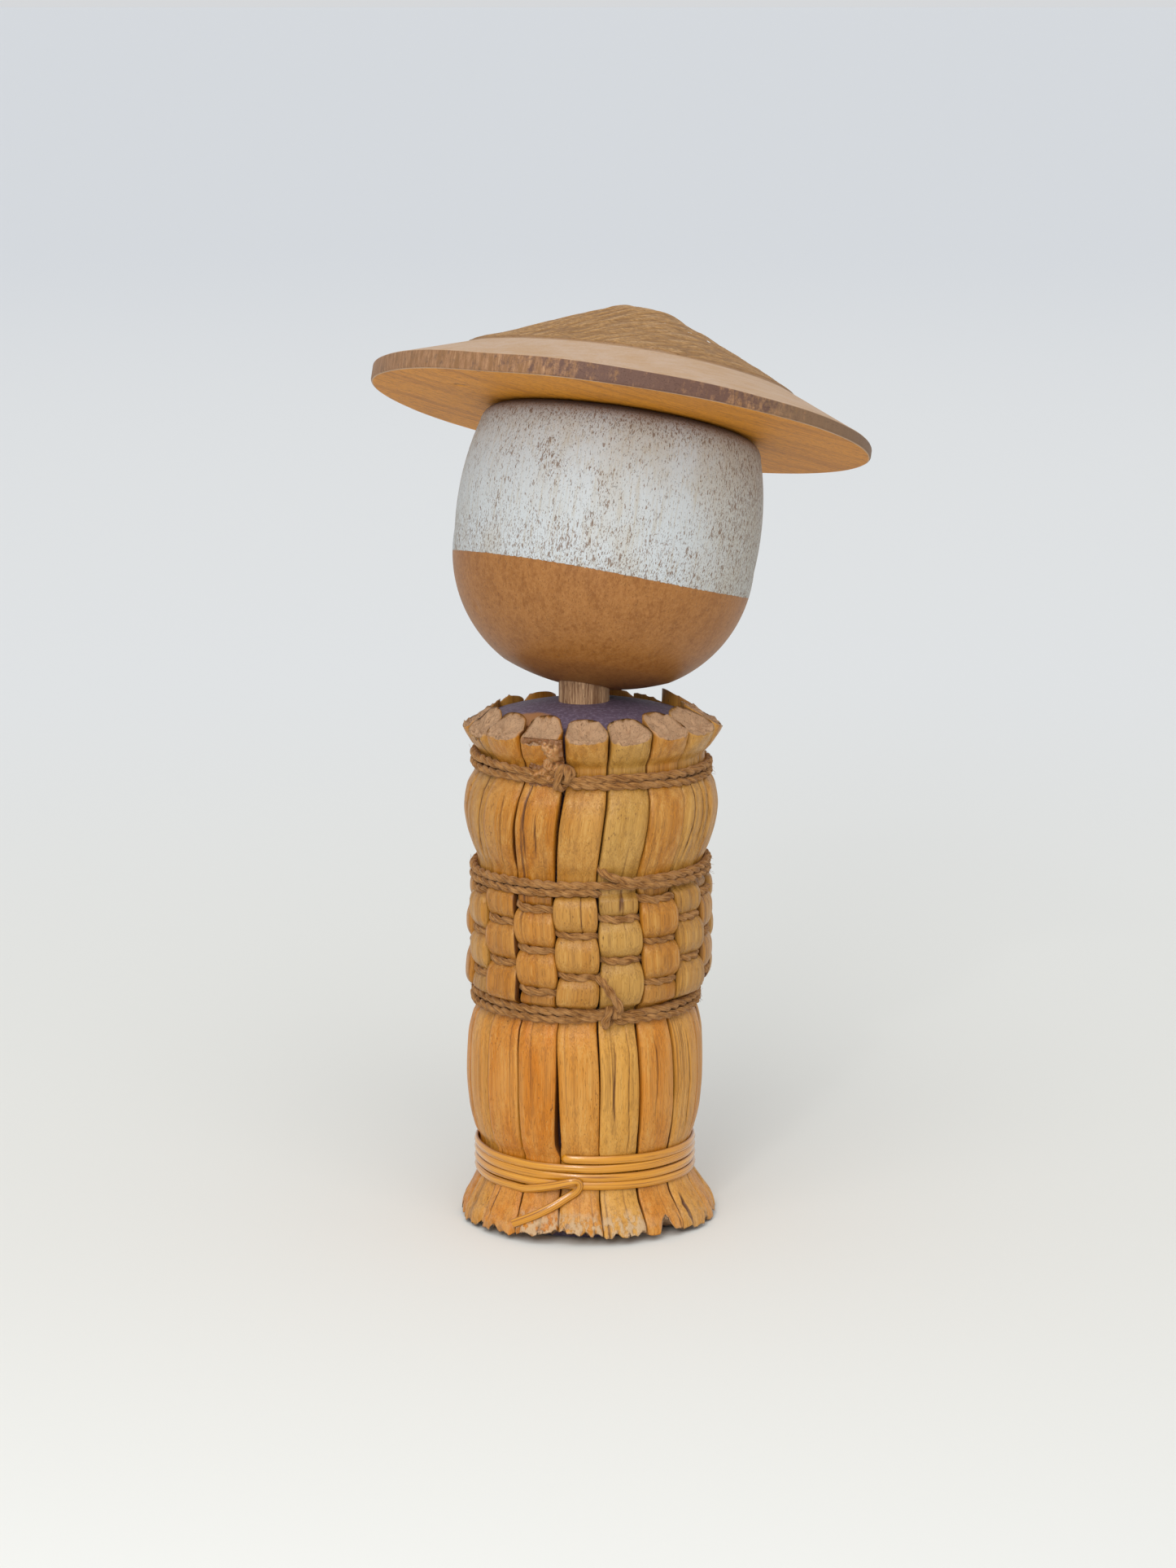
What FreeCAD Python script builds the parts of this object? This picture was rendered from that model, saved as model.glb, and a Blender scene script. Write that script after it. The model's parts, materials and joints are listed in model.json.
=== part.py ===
import FreeCAD, Part
import math
import os
import re
import Sketcher

# A small standing doll in a wide conical hat. A turned wooden core is covered by a ring of rush
# stems, bound and woven with twine and wrapped with split cane at the foot. A vertical dowel in the
# core carries a turned head, whose own axis leans. A loose peg in the head's flat top carries the
# hat, which turns on it and lifts off with it. Millimetres, +Z up, origin at the base's centre.

doc = FreeCAD.newDocument("conical_hat_doll")
sheet = doc.addObject("Spreadsheet::Sheet", "Sizes")

SIZES = [
    ("core_radius", 19.3, "turned core"),
    ("core_height", 104.7, "core, base to the rim of its domed top"),
    ("core_dome", 2.8, "rise of the domed top above that rim"),
    ("reed_count", 17, "stems round the core, an odd number so that one weft alternates"),
    ("reed_gap_angle", 0.6, "split between two stems, degrees"),
    ("first_reed_angle", 12.2, "middle of the first stem, degrees from +X"),
    ("glue_line", 0.2, "gap between the core and the backs of the stems"),
    ("rim_drop", 2.7, "outer edge of the stems' cut upper ends, below the core's rim"),
    ("rim_thickness", 7.5, "stems at their flared upper ends"),
    ("end_rise", 5.0, "inner edge of the slanting upper cut above its outer edge"),
    ("foot_thickness", 6.5, "stems at their flared lower ends"),
    ("foot_edge", 1.8, "height of the plain edge below the foot's flare"),
    ("wrap_height", 13.0, "middle of the cane wrap"),
    ("wrap_rounds", 4, "rounds of split cane"),
    ("cane_width", 1.7, "split cane"),
    ("cane_thickness", 1.1, "split cane"),
    ("wrap_seat_thickness", 2.3, "stems under the cane wrap"),
    ("lower_bulge", 2.8, "stems' swell between the cane wrap and the lower binding"),
    ("lower_seat_thickness", 2.25, "stems under the lower binding"),
    ("weft_seat_thickness", 2.9, "stems under the weft"),
    ("weft_rounds", 5, "woven rounds between the upper and lower bindings"),
    ("weft_pitch", 4.4, "from one round to the next"),
    ("weft_strand", 1.9, "diameter of the woven twine"),
    ("pillow_swell", 0.9, "stems' swell between two rounds of weft"),
    ("upper_binding_drop", 29.0, "middle of the upper binding below the rim"),
    ("upper_seat_thickness", 3.25, "stems under the upper binding"),
    ("upper_bulge", 3.2, "stems' swell between the upper and top bindings"),
    ("top_binding_drop", 7.0, "middle of the top binding below the rim"),
    ("top_seat_thickness", 3.25, "stems under the top binding"),
    ("binding_strand", 1.7, "diameter of the binding twine, pulled tight"),
    ("seat_clearance", 0.15, "between any binding and the stems that it lies on"),
    ("knot_radius", 1.5, "binding knots"),
    ("knot_stand", 0.3, "middle of a knot outside the rounds' surface"),
    ("top_knot_angle", 257.0, "place of the top binding's knot, degrees from +X"),
    ("lower_knot_angle", 282.0, "place of the lower binding's knot"),
    ("neck_radius", 5.15, "neck dowel"),
    ("neck_place", -0.8, "dowel's axis along X"),
    ("neck_in_core", 22.0, "dowel glued in the core"),
    ("neck_showing", 2.5, "dowel between the core's dome and the head"),
    ("neck_in_head", 16.0, "dowel inside the head"),
    ("neck_glue", 0.05, "dowel's radial gap in the core"),
    ("neck_clearance", 0.06, "dowel's radial running gap in the head"),
    ("dowel_chamfer", 0.6, "ends of the dowel and the peg"),
    ("end_clearance", 1.0, "air beyond each end of a dowel or peg"),
    ("lean_angle", 16.4, "head's axis from the vertical, degrees"),
    ("lean_heading", 58.8, "the way it leans, degrees from +X towards +Y"),
    ("head_height", 54.0, "along its own axis, to its flat top"),
    ("head_radius", 30.7, "at its widest"),
    ("head_widest", 28.0, "height of its widest place"),
    ("chin_inset", 13.7, "where the flatter bottom ends, inside the widest"),
    ("chin_height", 3.5, "the same place, height"),
    ("cheek_swell", 3.9, "outward curve from there to the widest place"),
    ("crown_swell", 1.1, "outward curve above the widest place"),
    ("brow_inset", 1.9, "where the upper edge's rounding starts, inside the widest"),
    ("brow_drop", 3.3, "the same place, below the flat top"),
    ("top_inset", 5.1, "edge of the flat top that the hat rests on, inside the widest"),
    ("edge_swell", 0.8, "curve of that rounding"),
    ("hat_gap", 0.1, "between the head's flat top and the hat"),
    ("peg_radius", 4.0, "hat peg"),
    ("peg_in_head", 14.0, "peg's stand in the head"),
    ("peg_in_hat", 10.0, "peg's stand in the hat"),
    ("peg_clearance", 0.06, "peg's radial running gap in the head and in the hat"),
    ("hat_radius", 50.8, "hat"),
    ("hat_edge", 3.4, "thickness of the hat's rim"),
    ("edge_round", 0.5, "rounding of the rim's two corners"),
    ("band_height", 11.5, "smooth outer band where it meets the carved cone"),
    ("cone_radius", 31.0, "carved cone"),
    ("cone_step", 0.4, "carved cone's stand above the smooth band"),
    ("shoulder_radius", 8.0, "where the cone's rounded point starts"),
    ("shoulder_height", 22.2, "the same place, above the underside"),
    ("hat_height", 23.5, "rounded point above the underside"),
]
for row, (alias, value, note) in enumerate(SIZES, start=1):
    sheet.set(f"A{row}", note)
    sheet.set(f"B{row}", str(value))
    sheet.setAlias(f"B{row}", alias)
doc.recompute()
REEDS = int(sheet.get("reed_count"))
ROUNDS = int(sheet.get("weft_rounds"))

# Levels and radii that several pieces share, each worked out from the sheet.
WRAP_HALF = "(wrap_rounds * cane_width / 2)"
WRAP_BOTTOM = f"(wrap_height - {WRAP_HALF} - seat_clearance)"
WRAP_TOP = f"(wrap_height + {WRAP_HALF} + seat_clearance)"
BINDING_HALF = "(binding_strand + seat_clearance)"
WEFT_HALF = "(weft_strand / 2 + seat_clearance)"
REED_BACK = "(core_radius + glue_line)"
RIM_HEIGHT = "(core_height - rim_drop)"
RIM = f"({REED_BACK} + rim_thickness)"
FOOT = f"({REED_BACK} + foot_thickness)"
WRAP_SEAT = f"({REED_BACK} + wrap_seat_thickness)"
LOWER_SEAT = f"({REED_BACK} + lower_seat_thickness)"
WEFT_SEAT = f"({REED_BACK} + weft_seat_thickness)"
UPPER_SEAT = f"({REED_BACK} + upper_seat_thickness)"
TOP_SEAT = f"({REED_BACK} + top_seat_thickness)"
TOP_BINDING = f"({RIM_HEIGHT} - top_binding_drop)"
UPPER_BINDING = f"({RIM_HEIGHT} - upper_binding_drop)"
LOWER_BINDING = f"({UPPER_BINDING} - (weft_rounds + 1) * weft_pitch)"
CORE_TOP = "(core_height + core_dome)"
HEAD_FOOT = f"({CORE_TOP} + neck_showing)"
HAT_FOOT = "(head_height + hat_gap)"
DOME = "dome"


def formula(text):
    """Turn the sheet's words in a formula into references to its cells."""
    return re.sub(r"[a-z]+_[a-z_]+", r"Sizes.\g<0>", text)


def number(text):
    return float(sheet.evalExpression(formula(text)))


def bind(thing, prop, text):
    thing.setExpression(prop, formula(text))


def zero(text):
    return abs(number(text)) < 1e-9


def pin_point(sketch, name, spot, radius, height):
    """Hold one point of a sketch, given as (curve, end), at a radius and height from the sheet."""
    for kind, axis, text in (("DistanceX", -2, radius), ("DistanceY", -1, height)):
        if zero(text):
            sketch.addConstraint(Sketcher.Constraint("PointOnObject", *spot, axis))
            continue
        added = sketch.addConstraint(Sketcher.Constraint(kind, -1, 1, *spot, number(text)))
        sketch.renameConstraint(added, f"{name}_{kind}")
        bind(sketch, f"Constraints.{name}_{kind}", text)


def outline(sketch, corners):
    """Draw a closed outline, counter-clockwise. A corner is (radius, height) or (radius, height,
    swell), where swell is how far the stretch after it curves outwards from a straight line, or
    DOME for a stretch that curves about a centre on the axis, as a turned dome does."""
    ends = []
    for index, corner in enumerate(corners):
        after = corners[(index + 1) % len(corners)]
        start = FreeCAD.Vector(number(corner[0]), number(corner[1]), 0)
        end = FreeCAD.Vector(number(after[0]), number(after[1]), 0)
        if len(corner) == 2:
            sketch.addGeometry(Part.LineSegment(start, end), False)
            ends.append(((index, 1), (index, 2)))
            continue
        swell = abs(end.y - start.y) / 4 if corner[2] == DOME else number(corner[2])
        along = (end - start).normalize()
        middle = (start + end) * 0.5 + FreeCAD.Vector(along.y, -along.x, 0) * swell
        sketch.addGeometry(Part.Arc(start, middle, end), False)
        ends.append(((index, 1), (index, 2)) if swell > 0 else ((index, 2), (index, 1)))
    for index, corner in enumerate(corners):
        after = corners[(index + 1) % len(corners)]
        sketch.addConstraint(Sketcher.Constraint("Coincident", *ends[index - 1][1], *ends[index][0]))
        pin_point(sketch, f"corner_{index}", ends[index][0], corner[0], corner[1])
        if len(corner) == 3 and corner[2] == DOME:
            sketch.addConstraint(Sketcher.Constraint("PointOnObject", index, 3, -2))
        elif len(corner) == 3:
            chord = f"((({after[0]}) - ({corner[0]}))^2 + (({after[1]}) - ({corner[1]}))^2)"
            bend = f"({chord} / 4 + ({corner[2]})^2) / (2 * abs({corner[2]}))"
            added = sketch.addConstraint(Sketcher.Constraint("Radius", index, number(bend)))
            sketch.renameConstraint(added, f"bend_{index}")
            bind(sketch, f"Constraints.bend_{index}", bend)


def origin_feature(body, role):
    return next(feature for feature in body.Origin.OriginFeatures if feature.Role == role)


def turned(name, corners):
    """A body turned about its own Z axis from an outline of radius and height."""
    body = doc.addObject("PartDesign::Body", name)
    sketch = body.newObject("Sketcher::SketchObject", f"{name}_outline")
    sketch.AttachmentSupport = (origin_feature(body, "XZ_Plane"), "")
    sketch.MapMode = "FlatFace"
    outline(sketch, corners)
    turn = body.newObject("PartDesign::Revolution", f"{name}_turned")
    turn.Profile = sketch
    turn.ReferenceAxis = (sketch, ["V_Axis"])
    turn.Angle = 360
    doc.recompute()
    return body


def bore(body, name, radius, place, mouth, depth, upwards=False):
    """A blind round pocket in a turned body, along its Z axis, from the level of its open mouth."""
    sketch = body.newObject("Sketcher::SketchObject", f"{name}_circle")
    sketch.AttachmentSupport = (origin_feature(body, "XY_Plane"), "")
    sketch.MapMode = "FlatFace"
    bind(sketch, "AttachmentOffset.Base.z", mouth)
    circle = Part.Circle(FreeCAD.Vector(number(place), 0, 0), FreeCAD.Vector(0, 0, 1), number(radius))
    sketch.addGeometry(circle, False)
    added = sketch.addConstraint(Sketcher.Constraint("Radius", 0, number(radius)))
    sketch.renameConstraint(added, "bore_radius")
    bind(sketch, "Constraints.bore_radius", radius)
    sketch.addConstraint(Sketcher.Constraint("PointOnObject", 0, 3, -1))
    if zero(place):
        sketch.addConstraint(Sketcher.Constraint("PointOnObject", 0, 3, -2))
    else:
        added = sketch.addConstraint(Sketcher.Constraint("DistanceX", -1, 1, 0, 3, number(place)))
        sketch.renameConstraint(added, "bore_place")
        bind(sketch, "Constraints.bore_place", place)
    before = body.Shape.Volume
    pocket = body.newObject("PartDesign::Pocket", name)
    pocket.Profile = sketch
    pocket.Type = "Length"
    pocket.Reversed = upwards
    bind(pocket, "Length", depth)
    doc.recompute()
    removed = before - body.Shape.Volume
    expected = math.pi * number(radius) ** 2 * number(depth)
    if not 0.8 * expected < removed < 1.01 * expected:
        raise ValueError(f"{name} removed {removed:.1f} cubic mm, not about {expected:.1f}")


def dowel(name, radius, length):
    """A round rod along Z with both ends chamfered."""
    rod = doc.addObject("Part::Cylinder", f"{name}_rod")
    bind(rod, "Radius", radius)
    bind(rod, "Height", length)
    doc.recompute()
    ends = [index for index, edge in enumerate(rod.Shape.Edges, start=1) if edge.Closed]
    chamfer = doc.addObject("Part::Chamfer", name)
    chamfer.Base = rod
    chamfer.Edges = [(index, number("dowel_chamfer"), number("dowel_chamfer")) for index in ends]
    return chamfer


def lean(piece, along="0"):
    """Put a piece that is drawn from the head's foot on the head's leaning axis, moved along it."""
    piece.Placement.Rotation = FreeCAD.Rotation(FreeCAD.Vector(1, 1, 0), 1)
    bind(piece, "Placement.Rotation.Axis.x", "-sin(lean_heading)")
    bind(piece, "Placement.Rotation.Axis.y", "cos(lean_heading)")
    bind(piece, "Placement.Rotation.Angle", "lean_angle")
    bind(piece, "Placement.Base.x", f"neck_place + ({along}) * sin(lean_angle) * cos(lean_heading)")
    bind(piece, "Placement.Base.y", f"({along}) * sin(lean_angle) * sin(lean_heading)")
    bind(piece, "Placement.Base.z", f"{HEAD_FOOT} + ({along}) * cos(lean_angle)")


def ring(name, seat, height, rounds, strand, thickness):
    """Rounds of cord or cane lying side by side on the stems, as one ring with rounded edges."""
    inner = f"({seat} + seat_clearance)"
    outer = f"({inner} + {thickness})"
    half = f"({rounds} * {strand} / 2)"
    round_off = f"({thickness} * 0.45)"
    straight = f"({half} - {round_off})"
    return turned(name, [
        (inner, f"{height} - {straight}"),
        (f"{inner} + {round_off}", f"{height} - {half}"),
        (f"{outer} - {round_off}", f"{height} - {half}"),
        (outer, f"{height} - {straight}"),
        (outer, f"{height} + {straight}"),
        (f"{outer} - {round_off}", f"{height} + {half}"),
        (f"{inner} + {round_off}", f"{height} + {half}"),
        (inner, f"{height} + {straight}"),
    ])


def stud(name, ring_body, seat, height, strand, angle):
    """A binding with its pulled knot, a small ball half sunk in the outside of its rounds."""
    knot = doc.addObject("Part::Sphere", f"{name}_knot")
    bind(knot, "Radius", "knot_radius")
    reach = f"({seat} + seat_clearance + {strand} + knot_stand)"
    bind(knot, "Placement.Base.x", f"{reach} * cos({angle})")
    bind(knot, "Placement.Base.y", f"{reach} * sin({angle})")
    bind(knot, "Placement.Base.z", height)
    joined = doc.addObject("Part::MultiFuse", name)
    joined.Shapes = [ring_body, knot]
    return joined


nodes = {}

# Core: a turned cylinder with a domed top and the dowel's glued hole.
core = turned("torso_core", [
    ("0", "0"),
    ("core_radius", "0"),
    ("core_radius", "core_height", DOME),
    ("0", CORE_TOP),
])
bore(core, "dowel_hole", "neck_radius + neck_glue", "neck_place", CORE_TOP,
     "neck_in_core + end_clearance")
nodes["torso_core"] = core

# Neck: a dowel glued upright in the core, on which the head turns.
neck = dowel("neck_dowel", "neck_radius", "neck_in_core + neck_showing + neck_in_head")
bind(neck.Base, "Placement.Base.x", "neck_place")
bind(neck.Base, "Placement.Base.z", f"{CORE_TOP} - neck_in_core")
nodes["neck_dowel"] = neck

# Stems: one outline from foot to cut end, pinched at every binding and swelling between them,
# turned through one stem's share of the circle.
stem = [
    (REED_BACK, "0"),
    (FOOT, "0"),
    (FOOT, "foot_edge"),
    (WRAP_SEAT, WRAP_BOTTOM),
    (WRAP_SEAT, WRAP_TOP, "lower_bulge"),
    (LOWER_SEAT, f"{LOWER_BINDING} - {BINDING_HALF}"),
    (LOWER_SEAT, f"{LOWER_BINDING} + {BINDING_HALF}"),
]
for turn in range(1, ROUNDS + 1):
    level = f"({LOWER_BINDING} + {turn} * weft_pitch)"
    stem.append((WEFT_SEAT, f"{level} - {WEFT_HALF}"))
    if turn < ROUNDS:
        stem.append((WEFT_SEAT, f"{level} + {WEFT_HALF}", "pillow_swell"))
    else:
        stem.append((WEFT_SEAT, f"{level} + {WEFT_HALF}"))
stem += [
    (UPPER_SEAT, f"{UPPER_BINDING} - {BINDING_HALF}"),
    (UPPER_SEAT, f"{UPPER_BINDING} + {BINDING_HALF}", "upper_bulge"),
    (TOP_SEAT, f"{TOP_BINDING} - {BINDING_HALF}"),
    (TOP_SEAT, f"{TOP_BINDING} + {BINDING_HALF}"),
    (RIM, RIM_HEIGHT),
    (REED_BACK, f"{RIM_HEIGHT} + end_rise"),
]
stem_sketch = doc.addObject("Sketcher::SketchObject", "stem_outline")
stem_sketch.Placement.Rotation = FreeCAD.Rotation(FreeCAD.Vector(1, 0, 0), 90)
outline(stem_sketch, stem)
for place in range(REEDS):
    name = f"reed_{place + 1:02d}"
    reed = doc.addObject("Part::Revolution", name)
    reed.Source = stem_sketch
    reed.Axis = FreeCAD.Vector(0, 0, 1)
    reed.Base = FreeCAD.Vector(0, 0, 0)
    reed.Solid = True
    reed.Symmetric = True
    bind(reed, "Angle", "360 / reed_count - reed_gap_angle")
    reed.Placement.Rotation = FreeCAD.Rotation(FreeCAD.Vector(0, 0, 1), 1)
    bind(reed, "Placement.Rotation.Angle", f"first_reed_angle + 360 / reed_count * {place}")
    nodes[name] = reed

# Bindings: two rounds of twine each. The top one and the lowest one end in a knot.
top_rounds = ring("top_rounds", TOP_SEAT, TOP_BINDING, 2, "binding_strand",
                  "binding_strand")
nodes["top_binding"] = stud("top_binding", top_rounds, TOP_SEAT, TOP_BINDING,
                            "binding_strand", "top_knot_angle")
nodes["upper_binding"] = ring("upper_binding", UPPER_SEAT, UPPER_BINDING, 2,
                              "binding_strand", "binding_strand")
lower_rounds = ring("lower_rounds", LOWER_SEAT, LOWER_BINDING, 2, "binding_strand",
                    "binding_strand")
nodes["lower_binding"] = stud("lower_binding", lower_rounds, LOWER_SEAT, LOWER_BINDING,
                              "binding_strand", "lower_knot_angle")

# Weft: the woven rounds, drawn as plain rings that lie in the stems' pinches.
weft = doc.addObject("Part::Compound", "weft")
rounds = []
for turn in range(1, ROUNDS + 1):
    strand = doc.addObject("Part::Torus", f"weft_round_{turn}")
    bind(strand, "Radius1", f"{WEFT_SEAT} + seat_clearance + weft_strand / 2")
    bind(strand, "Radius2", "weft_strand / 2")
    bind(strand, "Placement.Base.z", f"{LOWER_BINDING} + {turn} * weft_pitch")
    rounds.append(strand)
weft.Links = rounds
nodes["weft"] = weft

# Cane wrap: flat rounds of split cane above the foot.
nodes["cane_wrap"] = ring("cane_wrap", WRAP_SEAT, "wrap_height", "wrap_rounds",
                          "cane_width", "cane_thickness")

# Head: turned, with the peg's socket along its own axis and the dowel's upright bore from below.
head_turned = turned("head_turned", [
    ("0", "0", DOME),
    ("head_radius - chin_inset", "chin_height", "cheek_swell"),
    ("head_radius", "head_widest", "crown_swell"),
    ("head_radius - brow_inset", "head_height - brow_drop", "edge_swell"),
    ("head_radius - top_inset", "head_height"),
    ("0", "head_height"),
])
bore(head_turned, "peg_socket", "peg_radius + peg_clearance", "0", "head_height",
     "peg_in_head + end_clearance")
lean(head_turned)
neck_bore = doc.addObject("Part::Cylinder", "neck_bore")
bind(neck_bore, "Radius", "neck_radius + neck_clearance")
bind(neck_bore, "Height", "neck_showing + neck_in_head + end_clearance")
bind(neck_bore, "Placement.Base.x", "neck_place")
bind(neck_bore, "Placement.Base.z", CORE_TOP)
head = doc.addObject("Part::Cut", "head")
head.Base = head_turned
head.Tool = neck_bore
nodes["head"] = head

# Hat peg: a loose dowel between the head's socket and the hat's.
peg = dowel("hat_peg", "peg_radius", "peg_in_head + hat_gap + peg_in_hat")
lean(peg.Base, "head_height - peg_in_head")
nodes["hat_peg"] = peg

# Hat: one turned piece with a flat underside, a square rim, a smooth band and a carved cone.
hat = turned("hat", [
    ("0", "0"),
    ("hat_radius - edge_round", "0"),
    ("hat_radius", "edge_round"),
    ("hat_radius", "hat_edge - edge_round"),
    ("hat_radius - edge_round", "hat_edge"),
    ("cone_radius", "band_height"),
    ("cone_radius", "band_height + cone_step"),
    ("shoulder_radius", "shoulder_height", DOME),
    ("0", "hat_height"),
])
bore(hat, "hat_socket", "peg_radius + peg_clearance", "0", "0", "peg_in_hat + end_clearance",
     upwards=True)
lean(hat, HAT_FOOT)
nodes["hat"] = hat

doc.recompute()
for thing in doc.Objects:
    if "Invalid" in thing.State or "Error" in thing.State:
        raise ValueError(f"{thing.Name} could not be built: {thing.State}")
os.makedirs("parts", exist_ok=True)
for name, piece in nodes.items():
    piece.Label = name
    if piece.Shape.isNull() or not piece.Shape.isValid():
        raise ValueError(f"{name} has no valid shape")
    piece.Shape.exportStep(f"parts/{name}.step")
    print(f"{name}: {len(piece.Shape.Solids)} solid, {piece.Shape.Volume:.1f} cubic mm")
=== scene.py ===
import json
import math
import bpy
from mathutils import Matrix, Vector
import numpy as np

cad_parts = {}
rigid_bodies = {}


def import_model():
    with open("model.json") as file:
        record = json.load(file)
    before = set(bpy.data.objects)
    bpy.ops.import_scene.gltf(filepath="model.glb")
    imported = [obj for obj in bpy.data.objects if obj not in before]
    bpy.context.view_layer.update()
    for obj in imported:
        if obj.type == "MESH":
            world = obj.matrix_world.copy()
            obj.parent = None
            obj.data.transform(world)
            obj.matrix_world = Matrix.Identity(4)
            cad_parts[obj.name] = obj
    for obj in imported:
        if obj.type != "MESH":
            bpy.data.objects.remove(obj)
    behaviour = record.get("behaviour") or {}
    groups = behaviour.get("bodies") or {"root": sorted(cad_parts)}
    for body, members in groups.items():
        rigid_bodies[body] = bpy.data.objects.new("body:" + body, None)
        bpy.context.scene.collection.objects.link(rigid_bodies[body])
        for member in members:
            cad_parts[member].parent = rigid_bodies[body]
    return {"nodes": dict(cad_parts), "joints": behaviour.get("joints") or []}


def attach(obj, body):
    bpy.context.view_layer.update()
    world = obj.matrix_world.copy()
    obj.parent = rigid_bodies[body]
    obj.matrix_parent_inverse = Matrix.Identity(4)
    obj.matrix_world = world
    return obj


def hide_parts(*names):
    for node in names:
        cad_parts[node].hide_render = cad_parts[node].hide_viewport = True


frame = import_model()
bpy.context.view_layer.update()
for built_in in list(bpy.data.objects):
    if built_in.name in ("Cube", "Light", "Camera"):
        bpy.data.objects.remove(built_in)

# ---------------------------------------------------------------------------------------------
# The core: one turned cylinder of light wood with a domed top. The top is stained purple, all but
# a patch at its edge that the stain missed. Everything else on the body is tied round it.

# Sizes here and below are in millimetres. Angles go round the upright axis in degrees, from the
# right, and the front is at 270.
PURPLE_STAIN = (0.108, 0.072, 0.112)
PURPLE_WORN = (0.26, 0.205, 0.285)
BARE_CORE = (0.38, 0.17, 0.06)
CORE_END_GRAIN = (0.035, 0.022, 0.03)
BARE_PATCH_ANGLE = 226
BARE_PATCH_FROM_AXIS = 19.0
BARE_PATCH_SIZE = 7.0
BARE_PATCH_RAGGED = 3.0


def put(tree, kind, inputs=None, **settings):
    """Adds a node. Its settings go by their own names, and each of its inputs takes either a plain
    value or another node's output."""
    node = tree.nodes.new(kind)
    for name, value in settings.items():
        setattr(node, name, value)
    for key, value in (inputs or {}).items():
        socket = node.inputs[key]
        if isinstance(value, bpy.types.NodeSocket):
            tree.links.new(value, socket)
        elif socket.type == "RGBA" and len(value) == 3:
            socket.default_value = (*value, 1.0)
        else:
            socket.default_value = value
    return node


def maths(tree, operation, first, second=0.0, clamp=False):
    return put(tree, "ShaderNodeMath", {0: first, 1: second}, operation=operation,
               use_clamp=clamp).outputs[0]


def times(tree, first, second):
    return maths(tree, "MULTIPLY", first, second)


def mixed(tree, share, first, second):
    """The first colour turning into the second as the share goes from 0 to 1."""
    return put(tree, "ShaderNodeMix", {0: share, 6: first, 7: second}, data_type="RGBA").outputs[2]


def layered(tree, colour, *coats):
    """The colour with coats over it, each given by its share and its own colour."""
    for share, coat in coats:
        colour = mixed(tree, share, colour, coat)
    return colour


def fade(tree, value, low, high, bottom=0.0, top=1.0):
    """A soft step from bottom to top while the value goes from low to high."""
    return put(tree, "ShaderNodeMapRange", {0: value, 1: low, 2: high, 3: bottom, 4: top},
               interpolation_type="SMOOTHSTEP").outputs[0]


def stretched(tree, place, scale, shift=(0, 0, 0)):
    return put(tree, "ShaderNodeMapping", {
        "Vector": place, "Scale": scale, "Location": shift}).outputs[0]


def distance(tree, place):
    return put(tree, "ShaderNodeVectorMath", {0: place}, operation="LENGTH").outputs["Value"]


def noise(tree, place, scale=1.0, detail=2.0, roughness=0.5, distortion=0.0):
    return put(tree, "ShaderNodeTexNoise", {"Vector": place, "Scale": scale, "Detail": detail,
                                            "Roughness": roughness,
                                            "Distortion": distortion}).outputs[0]


def object_millimetres(tree):
    place = put(tree, "ShaderNodeTexCoord").outputs["Object"]
    return stretched(tree, place, (1000, 1000, 1000))


def bump(tree, height, depth):
    """Fine relief that the mesh is too coarse for, its depth in millimetres."""
    return put(tree, "ShaderNodeBump", {"Height": height, "Distance": depth / 1000}).outputs[0]


def new_material(name, **constants):
    """A new material's node tree and its Principled shader, with the given constants on it."""
    material = bpy.data.materials.new(name)
    material.use_nodes = True
    shader = material.node_tree.nodes["Principled BSDF"]
    for socket, value in constants.items():
        shader.inputs[socket.replace("_", " ")].default_value = value
    return material, material.node_tree, shader


def feed(tree, shader, **linked):
    """Links node outputs to the shader's inputs of those names."""
    for socket, output in linked.items():
        tree.links.new(output, shader.inputs[socket.replace("_", " ")])


def new_group(name, inputs, outputs):
    """Starts a group of shader nodes: its tree, and its inputs and outputs by name."""
    tree = bpy.data.node_groups.new(name, "ShaderNodeTree")
    for label, value in inputs.items():
        kind = "NodeSocketVector" if value is None else "NodeSocketFloat"
        socket = tree.interface.new_socket(label, in_out="INPUT", socket_type=kind)
        if value is not None:
            socket.default_value = value
    for label in outputs:
        tree.interface.new_socket(label, in_out="OUTPUT", socket_type="NodeSocketFloat")
    given = tree.nodes.new("NodeGroupInput").outputs
    taken = tree.nodes.new("NodeGroupOutput").inputs
    return tree, given, taken


def make_grain_group():
    """Wood fibre that runs along Z: soft streaks, short dark pores, and their relief."""
    tree, given, taken = new_group(
        "wood_grain", {"Place": None, "Width": 0.5, "Length": 8.0}, ("Streaks", "Pores", "Relief"))
    thin = maths(tree, "DIVIDE", 1.0, given["Width"])
    long = maths(tree, "DIVIDE", 1.0, given["Length"])
    along = put(tree, "ShaderNodeCombineXYZ", {0: thin, 1: thin, 2: long}).outputs[0]
    place = put(tree, "ShaderNodeVectorMath", {0: given["Place"], 1: along},
                operation="MULTIPLY").outputs[0]
    fine = noise(tree, place, 1.0, 3.0, 0.6)
    broad = noise(tree, place, 0.17, 2.0, 0.5, 0.4)
    both = maths(tree, "ADD", times(tree, fine, 0.55), times(tree, broad, 0.45))
    streaks = fade(tree, both, 0.36, 0.64)
    short = stretched(tree, place, (1.5, 1.5, 3.4))
    pores = fade(tree, noise(tree, short, 1.0, 1.0, 0.5), 0.66, 0.74)
    tree.links.new(streaks, taken["Streaks"])
    tree.links.new(pores, taken["Pores"])
    relief = maths(tree, "SUBTRACT", both, times(tree, pores, 0.6))
    tree.links.new(relief, taken["Relief"])
    return tree


GRAIN = make_grain_group()


def use_group(tree, group, inputs):
    """Places a shader node group and gives its outputs."""
    return put(tree, "ShaderNodeGroup", inputs, node_tree=group).outputs


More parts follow.
